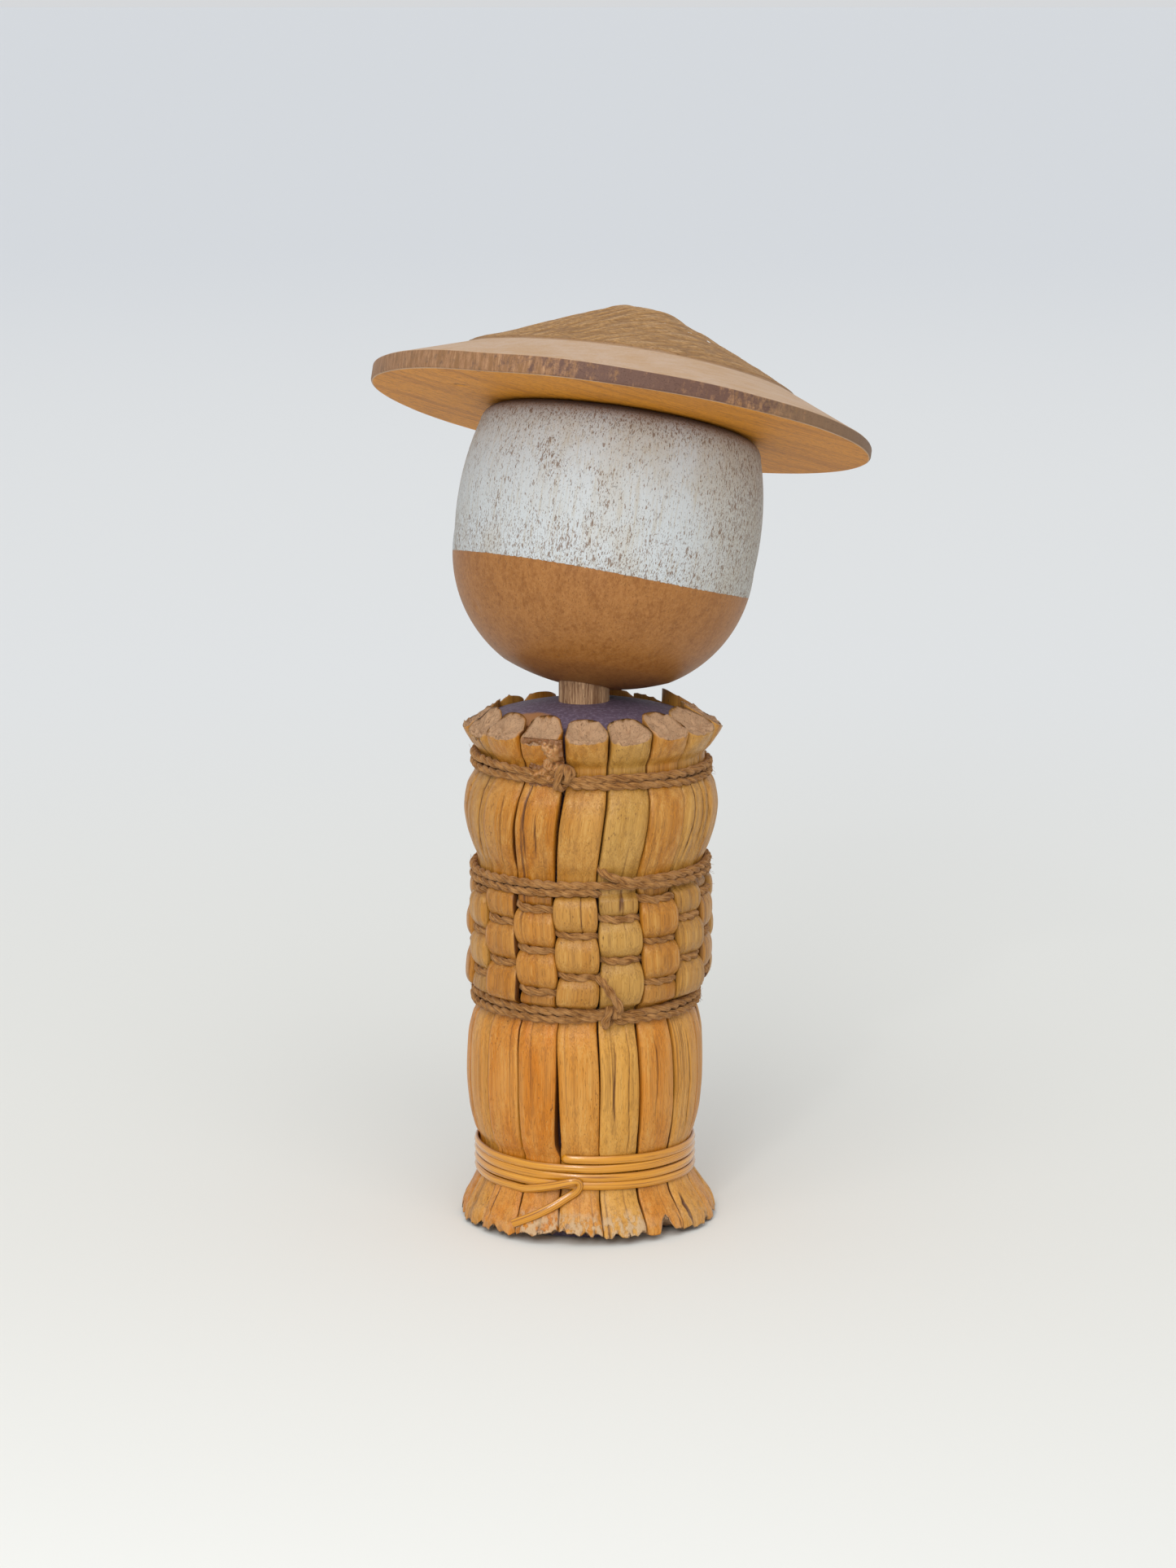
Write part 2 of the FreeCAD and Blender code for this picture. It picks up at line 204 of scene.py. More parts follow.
def paint_core():
    material, tree, shader = new_material("stained_core", Roughness=0.66)
    place = object_millimetres(tree)
    patch_angle = math.radians(BARE_PATCH_ANGLE)
    patch = (-BARE_PATCH_FROM_AXIS * math.cos(patch_angle),
             -BARE_PATCH_FROM_AXIS * math.sin(patch_angle), 0)
    away = distance(tree, stretched(tree, place, (1, 1, 0), patch))
    rags = times(tree, noise(tree, place, 0.5, 3.0), BARE_PATCH_RAGGED)
    ragged = maths(tree, "ADD", away, rags)
    bare = fade(tree, ragged, BARE_PATCH_SIZE - 0.6, BARE_PATCH_SIZE + 1.4, 1.0, 0.0)
    grain = use_group(tree, GRAIN, {
        "Place": stretched(tree, place, (1, 1, 0.3)), "Width": 0.42, "Length": 0.6})
    worn = fade(tree, noise(tree, place, 1.3, 4.0, 0.7), 0.42, 0.75, 0.0, 0.8)
    colour = mixed(tree, worn, PURPLE_STAIN, PURPLE_WORN)
    colour = layered(
        tree, colour,
        (bare, BARE_CORE),
        (times(tree, grain["Pores"], 0.75), CORE_END_GRAIN))
    feed(tree, shader, Base_Color=colour, Normal=bump(tree, grain["Relief"], 0.12))
    return material


frame["nodes"]["torso_core"].material_slots[0].material = paint_core()

# ---------------------------------------------------------------------------------------------
# The neck: a dowel of pale coarse wood, glued upright in the core. The head turns on it. The same
# wood makes the loose peg between the head and the hat.

DOWEL_PALE = (0.62, 0.38, 0.20)
DOWEL_DARK = (0.20, 0.09, 0.035)


def paint_dowel():
    material, tree, shader = new_material("dowel_wood", Roughness=0.72)
    place = object_millimetres(tree)
    grain = use_group(tree, GRAIN, {"Place": place, "Width": 0.32, "Length": 4.0})
    colour = mixed(tree, grain["Streaks"], DOWEL_DARK, DOWEL_PALE)
    colour = mixed(tree, times(tree, grain["Pores"], 0.8), colour, DOWEL_DARK)
    feed(tree, shader, Base_Color=colour, Normal=bump(tree, grain["Relief"], 0.3))
    return material


dowel_wood = paint_dowel()
for rod in ("neck_dowel", "hat_peg"):
    frame["nodes"][rod].material_slots[0].material = dowel_wood

# ---------------------------------------------------------------------------------------------
# The stems: seventeen flattened rush stems stand edge to edge round the core. They flare at the
# torn foot and at the slanting cut ends, and swell between the places where they are tied. In the
# woven belt each one goes behind the twine at every second round and swells out in between.

STEMS = sorted(name for name in frame["nodes"] if name.startswith("reed_"))
SHARE = 360 / len(STEMS)
FIRST_STEM = 12.2
STEM_BACK = 19.6
STEM_MIDDLE = 23.0
STEM_APART = 0.18
STEM_WIDE = 4.2
# How much the width changes: along a stem by chance, under the twine, where the stem swells
# between the twine, and at the foot.
WIDTH_WANDERS = 0.12
PINCHED_NARROWER = 0.15
PILLOW_WIDER = 0.035
FOOT_WIDER = 0.03
# The section's corners: how square they are, and how much rounder at the top and where it swells.
CORNERS_SQUARE = 6.0
TOP_ROUNDER = 3.3
PILLOW_ROUNDER = 1.4
FRONT_COLUMNS = 47
BACK_COLUMNS = 11
# Rows of points up a stem: from one height to the next, and how many.
STEM_ROWS = ((0, 8, 26), (8, 44, 62), (44, 76, 104), (76, 97, 42), (97, 104.5, 26))
CAP_RINGS = (0.9, 0.76, 0.6, 0.42, 0.22)
CAP_LUMPS = 0.3
FIBRE_RIBS = 15
FIBRES = 120
FIBRE_PATTERNS = 4
FIBRE_REACH = 1.3
PATTERN_STEP = 17
FIBRE_DEPTH = 0.075
LUMP_DEPTH = 0.10
SPLIT_DEPTH = 0.6
PIT_DEPTH = 0.22

# Height and radius of the stems' outside, foot to cut end, in millimetres.
STEM_OUTSIDE = (
    (0, 26.4), (2.5, 26.0), (6, 24.1), (9, 22.3), (10.5, 21.75), (16.6, 21.7), (19, 22.6),
    (24, 23.7), (31, 24.25), (38, 24.0), (43, 23.0), (45.2, 22.0), (48.4, 21.95), (50, 22.6),
    (71, 23.2), (71.7, 22.9), (75, 22.95), (78, 24.0), (82, 25.2), (86, 25.75), (90, 25.2),
    (93, 23.7), (94.4, 22.95), (97.2, 22.9), (99.5, 24.6), (103, 26.6), (108, 27.5))
# Height and sideways shift of the whole tied bundle, which isn't quite straight.
BUNDLE_SHIFT = ((0, 0.0), (13, -0.7), (31, -0.65), (45, -0.5), (55, 0.45), (70, 0.5), (84, 0.6),
                (95, 0.7), (110, 1.0))
# Height and turn in degrees of the stems about the core.
BUNDLE_TWIST = ((0, 0.5), (31, 0.8), (47, -1.0), (60, -2.5), (73, -3.9), (84, -1.8), (95, 0.8),
                (110, 0.4))
CUT_EDGE_HEIGHT = 102.3
CUT_SLOPE = 0.64
CUT_RADIUS = 26.8
CUT_DIP = 0.25
# The cut ends are lower at the back and the foot is worn off at the front: by how much, the angle
# where it is most, and how far round it spreads.
CUT_LOWERED = (1.4, 115, 50)
FOOT_WORN = (1.6, 272, 42)
FOOT_HOLLOW = 2.2
FOOT_RAGGED_TO = 8.0
# Stems by number, from 1: those with pale torn fibre, the one with a deep notch (its place across
# the stem, half width and depth), and those that lean aside above the belt (by how many degrees,
# lowest and highest height, and how far the lean takes to come and go).
HEAVILY_TORN = (2, 5, 8, 12, 13, 14)
NOTCHED_STEM = 15
DEEP_NOTCH = (-0.1, 0.28, 2.6)
LEANING_STEMS = (16, 17)
STEM_LEAN = (2.2, 70, 94, 6, 14)

# The woven belt between the two lower ties.
UPPER_TIE = 73.4
LOWER_TIE = 46.9
TIE_HALF = 1.75
TIE_SINKS = 0.6
BELT_STEM_THICK = 3.0
WEFT_START = 68.08
WEFT_PITCH = 4.2
WEFT_TILT = 1.7
WEFT_FIRST_STEM = 11
WEFT_STEMS = range(-14, 69)
WEFT_LOWEST = LOWER_TIE + 4.4
WEFT_HIGHEST = UPPER_TIE - 1.5
PINCHED = 22.75
PILLOW = 2.45
PILLOW_HALF = 4.2
PILLOW_LEAST = 0.9

# How orange each stem is, from straw at 0, beginning with the first.
STEM_TONES = (0.35, 0.6, 0.3, 0.75, 0.4, 0.9, 0.4, 0.7, 0.8, 0.5, 0.9, 1.0, 0.6, 0.12, 0.8, 0.35,
              0.6)
# Long splits: stem number, place across it from -1 to 1, lowest and highest height, half width.
STEM_SPLITS = (
    (12, -0.45, 77, 99, 0.07), (12, 0.1, 78, 90, 0.08), (11, 0.3, 74, 93, 0.08),
    (11, -0.5, 2, 20, 0.1), (14, 0.06, 67, 73, 0.22), (13, 0.3, 60, 75, 0.06),
    (16, -0.35, 76, 97, 0.1), (16, 0.3, 79, 99, 0.1), (16, 0.72, 76, 92, 0.12),
    (16, 0.1, 20, 42, 0.1), (10, 0.5, 75, 96, 0.1), (15, -0.2, 24, 44, 0.05),
    (14, 0.4, 16, 46, 0.05), (14, -0.3, 22, 44, 0.05), (1, 0.2, 78, 98, 0.2),
    (4, -0.3, 18, 40, 0.12), (6, 0.4, 76, 95, 0.14), (8, 0.0, 20, 45, 0.1),
    (3, 0.5, 60, 72, 0.1), (7, -0.4, 80, 99, 0.16), (16, -0.5, 0, 9, 0.22),
    (15, 0.7, 0, 6, 0.14), (12, 0.2, 0, 7, 0.1), (2, 0.1, 0, 8, 0.2))
# Gaps between neighbours: the stem on the left, lowest and highest height, how far down from the
# top the gap narrows, and each side's share of it in degrees.
STEM_GAPS = ((12, 17.5, 40, 18, 1.5), (15, 27, 46.5, 3, 0.8), (11, 76, 90, 8, 0.7),
             (3, 19, 36, 10, 1.0), (8, 76, 95, 12, 0.9))


def flowing(points, at):
    """A smooth line through the points that doesn't swing past them."""
    x, y = np.array(points, float).T
    step = np.diff(x)
    slope = np.diff(y) / step
    lean = np.zeros_like(x)
    same = slope[:-1] * slope[1:] > 0
    lean[1:-1][same] = 2 / (1 / slope[:-1][same] + 1 / slope[1:][same])
    at = np.clip(at, x[0], x[-1])
    i = np.clip(np.searchsorted(x, at) - 1, 0, len(step) - 1)
    t = (at - x[i]) / step[i]
    return (y[i] * (1 + 2 * t) * (1 - t) ** 2 + lean[i] * step[i] * t * (1 - t) ** 2
            + y[i + 1] * t * t * (3 - 2 * t) + lean[i + 1] * step[i] * t * t * (t - 1))


def hump(value, middle, half):
    """A bell from 0 to 1 and back, with its top at the middle."""
    return np.exp(-((value - middle) / half) ** 2)


def within(value, low, high, coming, going):
    """One between low and high, and none outside, over a run inside each of them."""
    return np.clip((value - low) / coming, 0, 1) * np.clip((high - value) / going, 0, 1)


def rough(seed, u, v, waves=9):
    """Smooth unevenness of about one unit, the same each run, over two directions."""
    chance = np.random.default_rng(seed)
    total = np.zeros(np.broadcast(u, v).shape)
    for _ in range(waves):
        heading = chance.uniform(0, 2 * math.pi)
        size, start = chance.uniform(0.5, 2.2), chance.uniform(0, 9)
        total += np.sin((u * math.cos(heading) + v * math.sin(heading)) * size + start)
    return total / math.sqrt(waves / 2)


def in_metres(angle, radius, height):
    """Points round the body from degrees, radius and height in millimetres, with the bundle's own
    sideways shift, which fades out towards the core."""
    shift = flowing(BUNDLE_SHIFT, height) * np.clip((radius - 20.0) / 2.5, 0, 1)
    turn = np.radians(angle)
    return np.stack([radius * np.cos(turn) + shift, radius * np.sin(turn), height + 0 * turn],
                    axis=-1) / 1000


def add_object(name, data):
    thing = bpy.data.objects.new(name, data)
    bpy.context.scene.collection.objects.link(thing)
    return thing


def closed_shell(name, rings, poles, material, numbers=None, vectors=None):
    """A closed mesh from rings of points, lowest first and each counter-clockwise from above, with
    a last point at each end. The numbers and vectors are given per ring and column."""
    rows, columns = rings.shape[:2]
    points = np.concatenate([rings.reshape(-1, 3), np.array(poles)])
    here = np.arange(columns)
    beside = (here + 1) % columns
    faces = []
    for row in range(rows - 1):
        low, high = row * columns, (row + 1) * columns
        faces += np.stack([low + here, low + beside, high + beside, high + here], 1).tolist()
    first, last = rows * columns, rows * columns + 1
    faces += np.stack([beside, here, np.full(columns, first)], 1).tolist()
    top = (rows - 1) * columns
    faces += np.stack([top + here, top + beside, np.full(columns, last)], 1).tolist()
    mesh = bpy.data.meshes.new(name)
    mesh.from_pydata(points, [], faces)
    mesh.shade_smooth()
    for label, values in (numbers or {}).items():
        full = np.concatenate([values.ravel(), [values[0].mean(), values[-1].mean()]])
        mesh.attributes.new(label, "FLOAT", "POINT").data.foreach_set("value", full)
    for label, values in (vectors or {}).items():
        ends = [values[0].mean(0), values[-1].mean(0)]
        full = np.concatenate([values.reshape(-1, 3), ends])
        mesh.attributes.new(label, "FLOAT_VECTOR", "POINT").data.foreach_set("vector", full.ravel())
    mesh.materials.append(material)
    return add_object(name, mesh)


def stem_angle(stem):
    return FIRST_STEM + SHARE * stem


def weft_height(count):
    """Height of the weaving twine where it meets a stem, counted from its first full round."""
    angle = stem_angle(WEFT_FIRST_STEM) + SHARE * count
    tilt = -WEFT_TILT * math.sin(math.radians(angle - 270))
    level = WEFT_START - WEFT_PITCH * count / len(STEMS) + tilt
    return min(max(level, WEFT_LOWEST), WEFT_HIGHEST)


def over_levels(stem):
    """Heights at which the weaving twine passes in front of a stem."""
    counts = [count for count in WEFT_STEMS
              if (count - stem + WEFT_FIRST_STEM) % len(STEMS) == 0 and count % 2 == 0]
    return [weft_height(count) for count in counts]


def belt_swell(stem, height):
    """From 0 where twine pinches a stem in the woven belt to 1 at the fullest place between."""
    ends = [LOWER_TIE + TIE_HALF - TIE_SINKS, UPPER_TIE - TIE_HALF + TIE_SINKS]
    stops = sorted(ends + over_levels(stem))
    swell = np.zeros_like(height)
    for low, high in zip(stops, stops[1:]):
        half = (high - low) / 2
        if half < PILLOW_LEAST:
            continue
        inside = np.clip(1 - np.abs((height - low) / half - 1), 0, 1)
        room = min(1.0, half / PILLOW_HALF)
        swell = np.maximum(swell, room * (1 - (1 - inside) ** 2.5) ** 0.62)
    return swell


def section_columns():
    """Place across a stem and towards its outside, both from -1 to 1, once round its section."""
    even = np.linspace(-1, 1, FRONT_COLUMNS)
    front = 0.6 * even + 0.4 * np.sin(even * math.pi / 2)
    back = np.linspace(1, -1, BACK_COLUMNS + 2)[1:-1]
    across = np.concatenate([front, back])
    outer = np.concatenate([np.ones(FRONT_COLUMNS), -np.ones(BACK_COLUMNS)])
    return across, outer


def fibre_lines(seed, across, height):
    """Ribs and grooves along a stem, drifting slowly from one pattern into another."""
    chance = np.random.default_rng(seed)
    finer = np.linspace(-FIBRE_REACH, FIBRE_REACH, FIBRES)
    wider = np.linspace(-FIBRE_REACH, FIBRE_REACH, FIBRE_RIBS)
    patterns = []
    for _ in range(FIBRE_PATTERNS):
        coarse = np.interp(finer, wider, chance.normal(0, 1, FIBRE_RIBS))
        thin = np.convolve(chance.normal(0, 1, FIBRES), (0.25, 0.5, 0.25), "same")
        patterns.append(0.75 * coarse + 0.6 * thin)
    where = np.clip(height / 110, 0, 0.999) * (FIBRE_PATTERNS - 1)
    first = where.astype(int)
    share = where - first
    share = share * share * (3 - 2 * share)
    lines = np.zeros(np.broadcast(across, height).shape)
    for index in range(FIBRE_PATTERNS):
        weight = np.where(first == index, 1 - share, np.where(first == index - 1, share, 0))
        lines += weight * np.interp(across, finer, patterns[index])
    return lines


def stem_ends(stem, chance, across, outer):
    """Heights round a stem's section of its foot, which is torn, and of its top, sawn aslant."""
    facing, is_front = stem_angle(stem) % 360, outer > 0
    end_reach = (1 + outer * np.minimum(1, (1.001 - np.abs(across) ** 2.6) ** 0.4)) / 2
    end_radius = STEM_BACK + (CUT_RADIUS - STEM_BACK) * end_reach
    cut = (CUT_EDGE_HEIGHT + (CUT_RADIUS - end_radius) * (CUT_SLOPE + chance.uniform(-0.12, 0.12))
           + across * chance.uniform(-0.6, 0.6) + chance.uniform(-0.5, 0.6))
    lowered, at_angle, spread = CUT_LOWERED
    cut = cut - lowered * hump(facing, at_angle, spread)
    torn = chance.uniform(0, 0.5) + 0.45 * np.abs(rough(70 + stem, across * 5, outer * 2))
    worn, at_angle, spread = FOOT_WORN
    torn = torn + worn * hump(facing, at_angle, spread) * is_front
    notch = chance.uniform(-0.8, 0.8)
    torn = torn + chance.uniform(0.2, 1.7) * hump(across, notch, 0.2) * is_front
    if stem + 1 == NOTCHED_STEM:
        notch, half, deep = DEEP_NOTCH
        torn = torn + deep * np.exp(-((across - notch) / half) ** 4) * is_front
    return torn, cut


def split_depth(stem, across, height):
    """The long splits in a stem's outer face, from 0 to 1 at their deepest."""
    split = np.zeros_like(height)
    for number, place, low, high, width in STEM_SPLITS:
        if number == stem + 1:
            wander = place + 0.05 * np.sin(height * 0.35 + stem)
            groove = hump(across, wander, max(width * 0.4, 0.035)) * min(1, 0.3 + width * 4)
            split += groove * within(height, low, high, 4, 4)
    return np.minimum(split, 1)


def stem_angles(stem, across, height, width, wobble):
    """Angles of a stem's points, with the bundle's twist, its own lean, and gaps beside it."""
    lean = flowing(BUNDLE_TWIST, height) + wobble * np.sin(height * 0.05)
    if stem + 1 in LEANING_STEMS:
        most, *stretch = STEM_LEAN
        lean = lean - most * within(height, *stretch)
    angle = stem_angle(stem) + lean + across * width
    for left_stem, low, high, narrowing, gap in STEM_GAPS:
        opening = gap * within(height, low, high, 2.5, narrowing)
        if stem + 1 == left_stem:
            angle = angle - opening * np.clip(across, 0, 1)
        elif stem == left_stem:
            angle = angle + opening * np.clip(-across, 0, 1)
    return angle


def cap_rings(ring, seed, dip):
    """Smaller and smaller rings that close an end, uneven as torn pith, and the last point."""
    pole = ring.mean(0)
    closing = []
    for share in CAP_RINGS:
        inner = pole + (ring - pole) * share
        lump = rough(seed, ring[:, 0] * 2600 * share, ring[:, 1] * 2600 * share)
        inner[:, 2] += (CAP_LUMPS * lump - dip * (1 - share)) / 1000
        closing.append(inner)
    pole[2] -= dip / 1000
    return np.array(closing), pole


def with_caps(values, at_foot, at_top):
    """Values for a stem's rows with those of the rings that close its two ends."""
    foot_cap, top_cap = (
        np.broadcast_to(np.array(given)[..., None], (len(CAP_RINGS), values.shape[1]))
        for given in (at_foot, at_top))
    return np.concatenate([foot_cap, values, top_cap])


def make_stem(stem, material):
    chance = np.random.default_rng(400 + stem)
    across, outer = section_columns()
    stem_top = STEM_ROWS[-1][1]
    levels = np.concatenate([np.linspace(*part)[:-1] for part in STEM_ROWS] + [[stem_top]])
    levels = levels / stem_top
    tilt, lift = chance.uniform(-0.3, 0.3), chance.uniform(-0.25, 0.3)
    wobble = chance.uniform(-0.5, 0.5)
    torn, cut = stem_ends(stem, chance, across, outer)
    height = torn + (cut - torn) * levels[:, None]
    across = np.broadcast_to(across, height.shape)
    outer = np.broadcast_to(outer, height.shape)

    swell = belt_swell(stem, height)
    in_belt = within(height, LOWER_TIE + 1, UPPER_TIE - 1, 1.5, 1.5)
    outside = flowing(STEM_OUTSIDE, height) + lift * (1 - in_belt)
    outside = outside + in_belt * (PINCHED + PILLOW * swell - outside)
    outside = outside + tilt * across * (1 - in_belt)
    at_top = np.clip((height - 97) / 5, 0, 1)
    at_foot = np.clip((FOOT_RAGGED_TO - height) / 5, 0, 1)
    power = CORNERS_SQUARE - TOP_ROUNDER * at_top - PILLOW_ROUNDER * in_belt * swell
    edge = np.maximum(0, 1 - np.abs(across) ** power) ** (1 / power)
    inside = STEM_BACK + in_belt * np.maximum(0, outside - BELT_STEM_THICK - STEM_BACK)
    middle, reach = (outside + inside) / 2, (outside - inside) / 2
    radius = middle + outer * reach * edge

    # Relief on the outer face: ribs, splits, and torn fibre at the foot.
    face = np.where(outer > 0, 1 - np.abs(across) ** 8, 0)
    lines = fibre_lines(900 + stem, across, height)
    lumps = rough(30 + stem, across * 1.2, height * 0.09)
    radius = radius + face * (FIBRE_DEPTH * lines + LUMP_DEPTH * lumps)
    split = split_depth(stem, across, height)
    radius = radius - face * SPLIT_DEPTH * split
    pits = np.maximum(0, rough(130 + stem, across * 7, height * 1.6)) * at_foot
    radius = radius - face * PIT_DEPTH * pits

    width = SHARE / 2 - STEM_APART + WIDTH_WANDERS * rough(60 + stem, across * 0, height * 0.12)
    width = width * (1 - PINCHED_NARROWER * in_belt * (1 - swell) + PILLOW_WIDER * in_belt * swell)
    width = width * (1 + FOOT_WIDER * at_foot)
    rings = in_metres(stem_angles(stem, across, height, width, wobble), radius, height)
    top_rings, top_pole = cap_rings(rings[-1], 200 + stem, CUT_DIP)
    foot_rings, foot_pole = cap_rings(rings[0], 300 + stem, -FOOT_HOLLOW)
    every = np.concatenate([foot_rings[::-1], rings, top_rings])
    every[..., 2] = np.maximum(every[..., 2], 0)

    # What the material reads: torn fibre, cut ends, and painted shade in the splits, grooves and
    # seams between stems and where the twine pinches them.
    seam_shade = np.clip(0.3 + 0.4 * rough(160 + stem, across * 0.6, height * 0.07), 0, 0.75)
    seam_shade = seam_shade * (outer > 0) * np.clip((np.abs(across) - 0.93) / 0.06, 0, 1)
    grooves = face * np.clip(-lines * 0.36 - 0.08, 0, 0.6)
    crease_shade = np.clip(split + seam_shade + grooves, 0, 1)
    ripped = at_foot * (1.0 if stem + 1 in HEAVILY_TORN else 0.3)
    rims, rim_shares = len(CAP_RINGS), np.array(CAP_RINGS)
    none, all_of_it, uncut = np.zeros(rims), np.ones(rims), np.zeros_like(height)

    # Each stem reads the fibre pattern at a place of its own, so that no two are alike.
    own_middle = np.array([PATTERN_STEP * stem, STEM_MIDDLE])
    own = np.stack([across * STEM_WIDE + own_middle[0], radius, height], axis=-1)
    foot_own, top_own = np.repeat(own[:1], rims, 0), np.repeat(own[-1:], rims, 0)
    for block, shares in ((foot_own, rim_shares[::-1]), (top_own, rim_shares)):
        block[..., :2] = own_middle + (block[..., :2] - own_middle) * shares[:, None, None]
    return closed_shell(
        f"rush_{stem + 1:02d}", every, (foot_pole, top_pole), material,
        numbers={
            "tone": np.full(every.shape[:2], STEM_TONES[stem]),
            "cut": with_caps(uncut, all_of_it, all_of_it),
            "cut_edge": with_caps(uncut, rim_shares[::-1] ** 4, rim_shares ** 4),
            "crease_shade": with_caps(crease_shade, none, none),
            # Painted shade where the stems are pinched behind the twine.
            "tucked_shade": with_caps(in_belt * (1 - swell), none, none),
            "torn": with_caps(ripped, all_of_it, none)},
        vectors={"own_place": np.concatenate([foot_own, own, top_own])})


STRAW = (0.46, 0.24, 0.046)
LOWER_STRAW = (0.62, 0.305, 0.05)
ORANGE_RUSH = (0.45, 0.155, 0.005)
LOWER_RUSH = (0.56, 0.175, 0.003)
RUSH_DARK = (0.11, 0.035, 0.005)
RUSH_PALE = (0.70, 0.43, 0.13)
RUSH_OLIVE = (0.27, 0.15, 0.025)
PITH = (0.56, 0.34, 0.19)
TORN_FIBRE = (0.72, 0.50, 0.29)
PITH_HOLES = (0.17, 0.085, 0.035)


def attribute(tree, name, output="Fac"):
    return put(tree, "ShaderNodeAttribute", attribute_name=name).outputs[output]


def make_grime_group():
    """Dirt from handling: broad soft smudges, and small specks that gather in them."""
    tree, given, taken = new_group(
        "grime", {"Place": None, "Patch Size": 12.0, "Speck Size": 0.6}, ("Smudges", "Specks"))
    wide = maths(tree, "DIVIDE", 1.0, given["Patch Size"])
    small = maths(tree, "DIVIDE", 1.0, given["Speck Size"])
    patches = noise(tree, given["Place"], wide, 3.0, 0.55, 0.3)
    smudges = fade(tree, patches, 0.42, 0.68)
    dots = noise(tree, given["Place"], small, 1.0, 0.5)
    level = maths(tree, "SUBTRACT", 0.76, times(tree, smudges, 0.09))
    over = maths(tree, "SUBTRACT", dots, level)
    specks = maths(tree, "MULTIPLY", over, 22.0, clamp=True)
    tree.links.new(smudges, taken["Smudges"])
    tree.links.new(specks, taken["Specks"])
    return tree


GRIME = make_grime_group()


def paint_rush():
    """Straw to orange by stem, with fine fibre along it, dark specks, painted shade in the splits,
    grooves and seams and where the twine pinches the stems, and pale torn pith at the foot and on
    the cut ends."""
    material, tree, shader = new_material("rush", Specular_IOR_Level=0.4)
    place = attribute(tree, "own_place", "Vector")
    tone, crease_shade, tucked_shade = (attribute(tree, name) for name in ("tone", "crease_shade", "tucked_shade"))
    torn, cut, cut_edge = (attribute(tree, name) for name in ("torn", "cut", "cut_edge"))
    height = put(tree, "ShaderNodeSeparateXYZ", {0: place}).outputs[2]
    fibre = use_group(tree, GRAIN, {"Place": place, "Width": 0.17, "Length": 15.0})
    grime = use_group(tree, GRIME, {"Place": stretched(tree, place, (1, 1, 0.4)),
                                    "Patch Size": 7.0, "Speck Size": 0.42})
    below = fade(tree, height, 44, 50, 1.0, 0.0)
    orange = mixed(tree, below, ORANGE_RUSH, LOWER_RUSH)
    colour = mixed(tree, tone, mixed(tree, below, STRAW, LOWER_STRAW), orange)
    drift = fade(tree, noise(tree, stretched(tree, place, (0.3, 0.3, 0.05)), 1.0, 2.0), 0.35, 0.65)
    colour = layered(
        tree, colour,
        (times(tree, drift, 0.2), RUSH_PALE),
        (fade(tree, fibre["Streaks"], 0.05, 0.5, 0.32, 0.0), RUSH_DARK),
        (fade(tree, fibre["Streaks"], 0.72, 1.0, 0.0, 0.3), RUSH_PALE),
        (times(tree, grime["Smudges"], 0.08), RUSH_OLIVE))
    specks = times(tree, grime["Specks"], times(tree, grime["Smudges"], 0.7))
    # Dirt specks, then painted shade in the creases and where stems go behind the twine.
    colour = layered(
        tree, colour,
        (specks, RUSH_DARK),
        (fade(tree, crease_shade, 0.1, 0.6), RUSH_DARK),
        (times(tree, tucked_shade, 0.5), RUSH_DARK))
    ripped = noise(tree, stretched(tree, place, (0.9, 0.9, 0.22)), 1.0, 3.0, 0.6)
    ripped = times(tree, fade(tree, ripped, 0.42, 0.56), fade(tree, torn, 0.1, 0.8))
    colour = mixed(tree, times(tree, ripped, 0.85), colour, TORN_FIBRE)
    cells = noise(tree, place, 2.4, 5.0, 0.8)
    pith = mixed(tree, fade(tree, cells, 0.30, 0.50, 1.0, 0.0), PITH, PITH_HOLES)
    pith = mixed(tree, fade(tree, cut_edge, 0.5, 0.85, 0.0, 0.6), pith, PITH_HOLES)
    colour = mixed(tree, cut, colour, pith)
    open_fibre = maths(tree, "MAXIMUM", cut, ripped)
    dull = maths(tree, "ADD", times(tree, fibre["Streaks"], -0.12), 0.40)
    dull = maths(tree, "MAXIMUM", dull, times(tree, open_fibre, 0.9))
    relief = maths(tree, "ADD", times(tree, fibre["Relief"], 0.5),
                   times(tree, cells, open_fibre))
    feed(tree, shader, Base_Color=colour, Roughness=dull, Normal=bump(tree, relief, 0.34))
    return material


rush = paint_rush()
for number, node in enumerate(STEMS):
    piece = make_stem(number, rush)
    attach(piece, "torso")
    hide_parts(node)

# ---------------------------------------------------------------------------------------------
# The twine: two-ply, reddish brown and hairy. One cord makes the tie under the upper swell, the
# woven rounds and the end that comes out below them. A second makes the lower tie and a third the
# top one. Each is wound twice round the stems, pulled tight and hitched over its own two rounds.

ROUND = 360
TWINE_THICK = 1.75
TWINE_LAY = 5.6
# Each ply's own radius and its distance from the twine's middle, as shares of the thickness.
PLY_RADIUS = 0.335
PLY_OFFSET = 0.185
HAIRS_PER_SQUARE_METRE = 150000.0
HAIR_LONG = 1.4
# A hair's bend and half thickness, as shares of its length.
HAIR_BEND = ((0, 0, 0), (0.25, 0, 0.55), (0.75, 0.2, 0.7))
HAIR_HALF = 0.022
TIE_ROUNDS = 2
TIE_STEP = 9
TOP_TIE = 95.1
TOP_TIE_TILT = 0.9
UPPER_TIE_TILT = -0.65
LOWER_TIE_TILT = 0.25
TOP_SEAT = 22.95
UPPER_SEAT = 22.95
LOWER_SEAT = 21.95
TOP_KNOT = 257
LOWER_KNOT = 282
WEFT_OVER = 23.75
WEFT_UNDER = 21.35
WEFT_SAG = 0.28
TWINE_PALE = (0.50, 0.265, 0.10)
TWINE_MID = (0.36, 0.165, 0.045)
TWINE_DARK = (0.15, 0.056, 0.012)


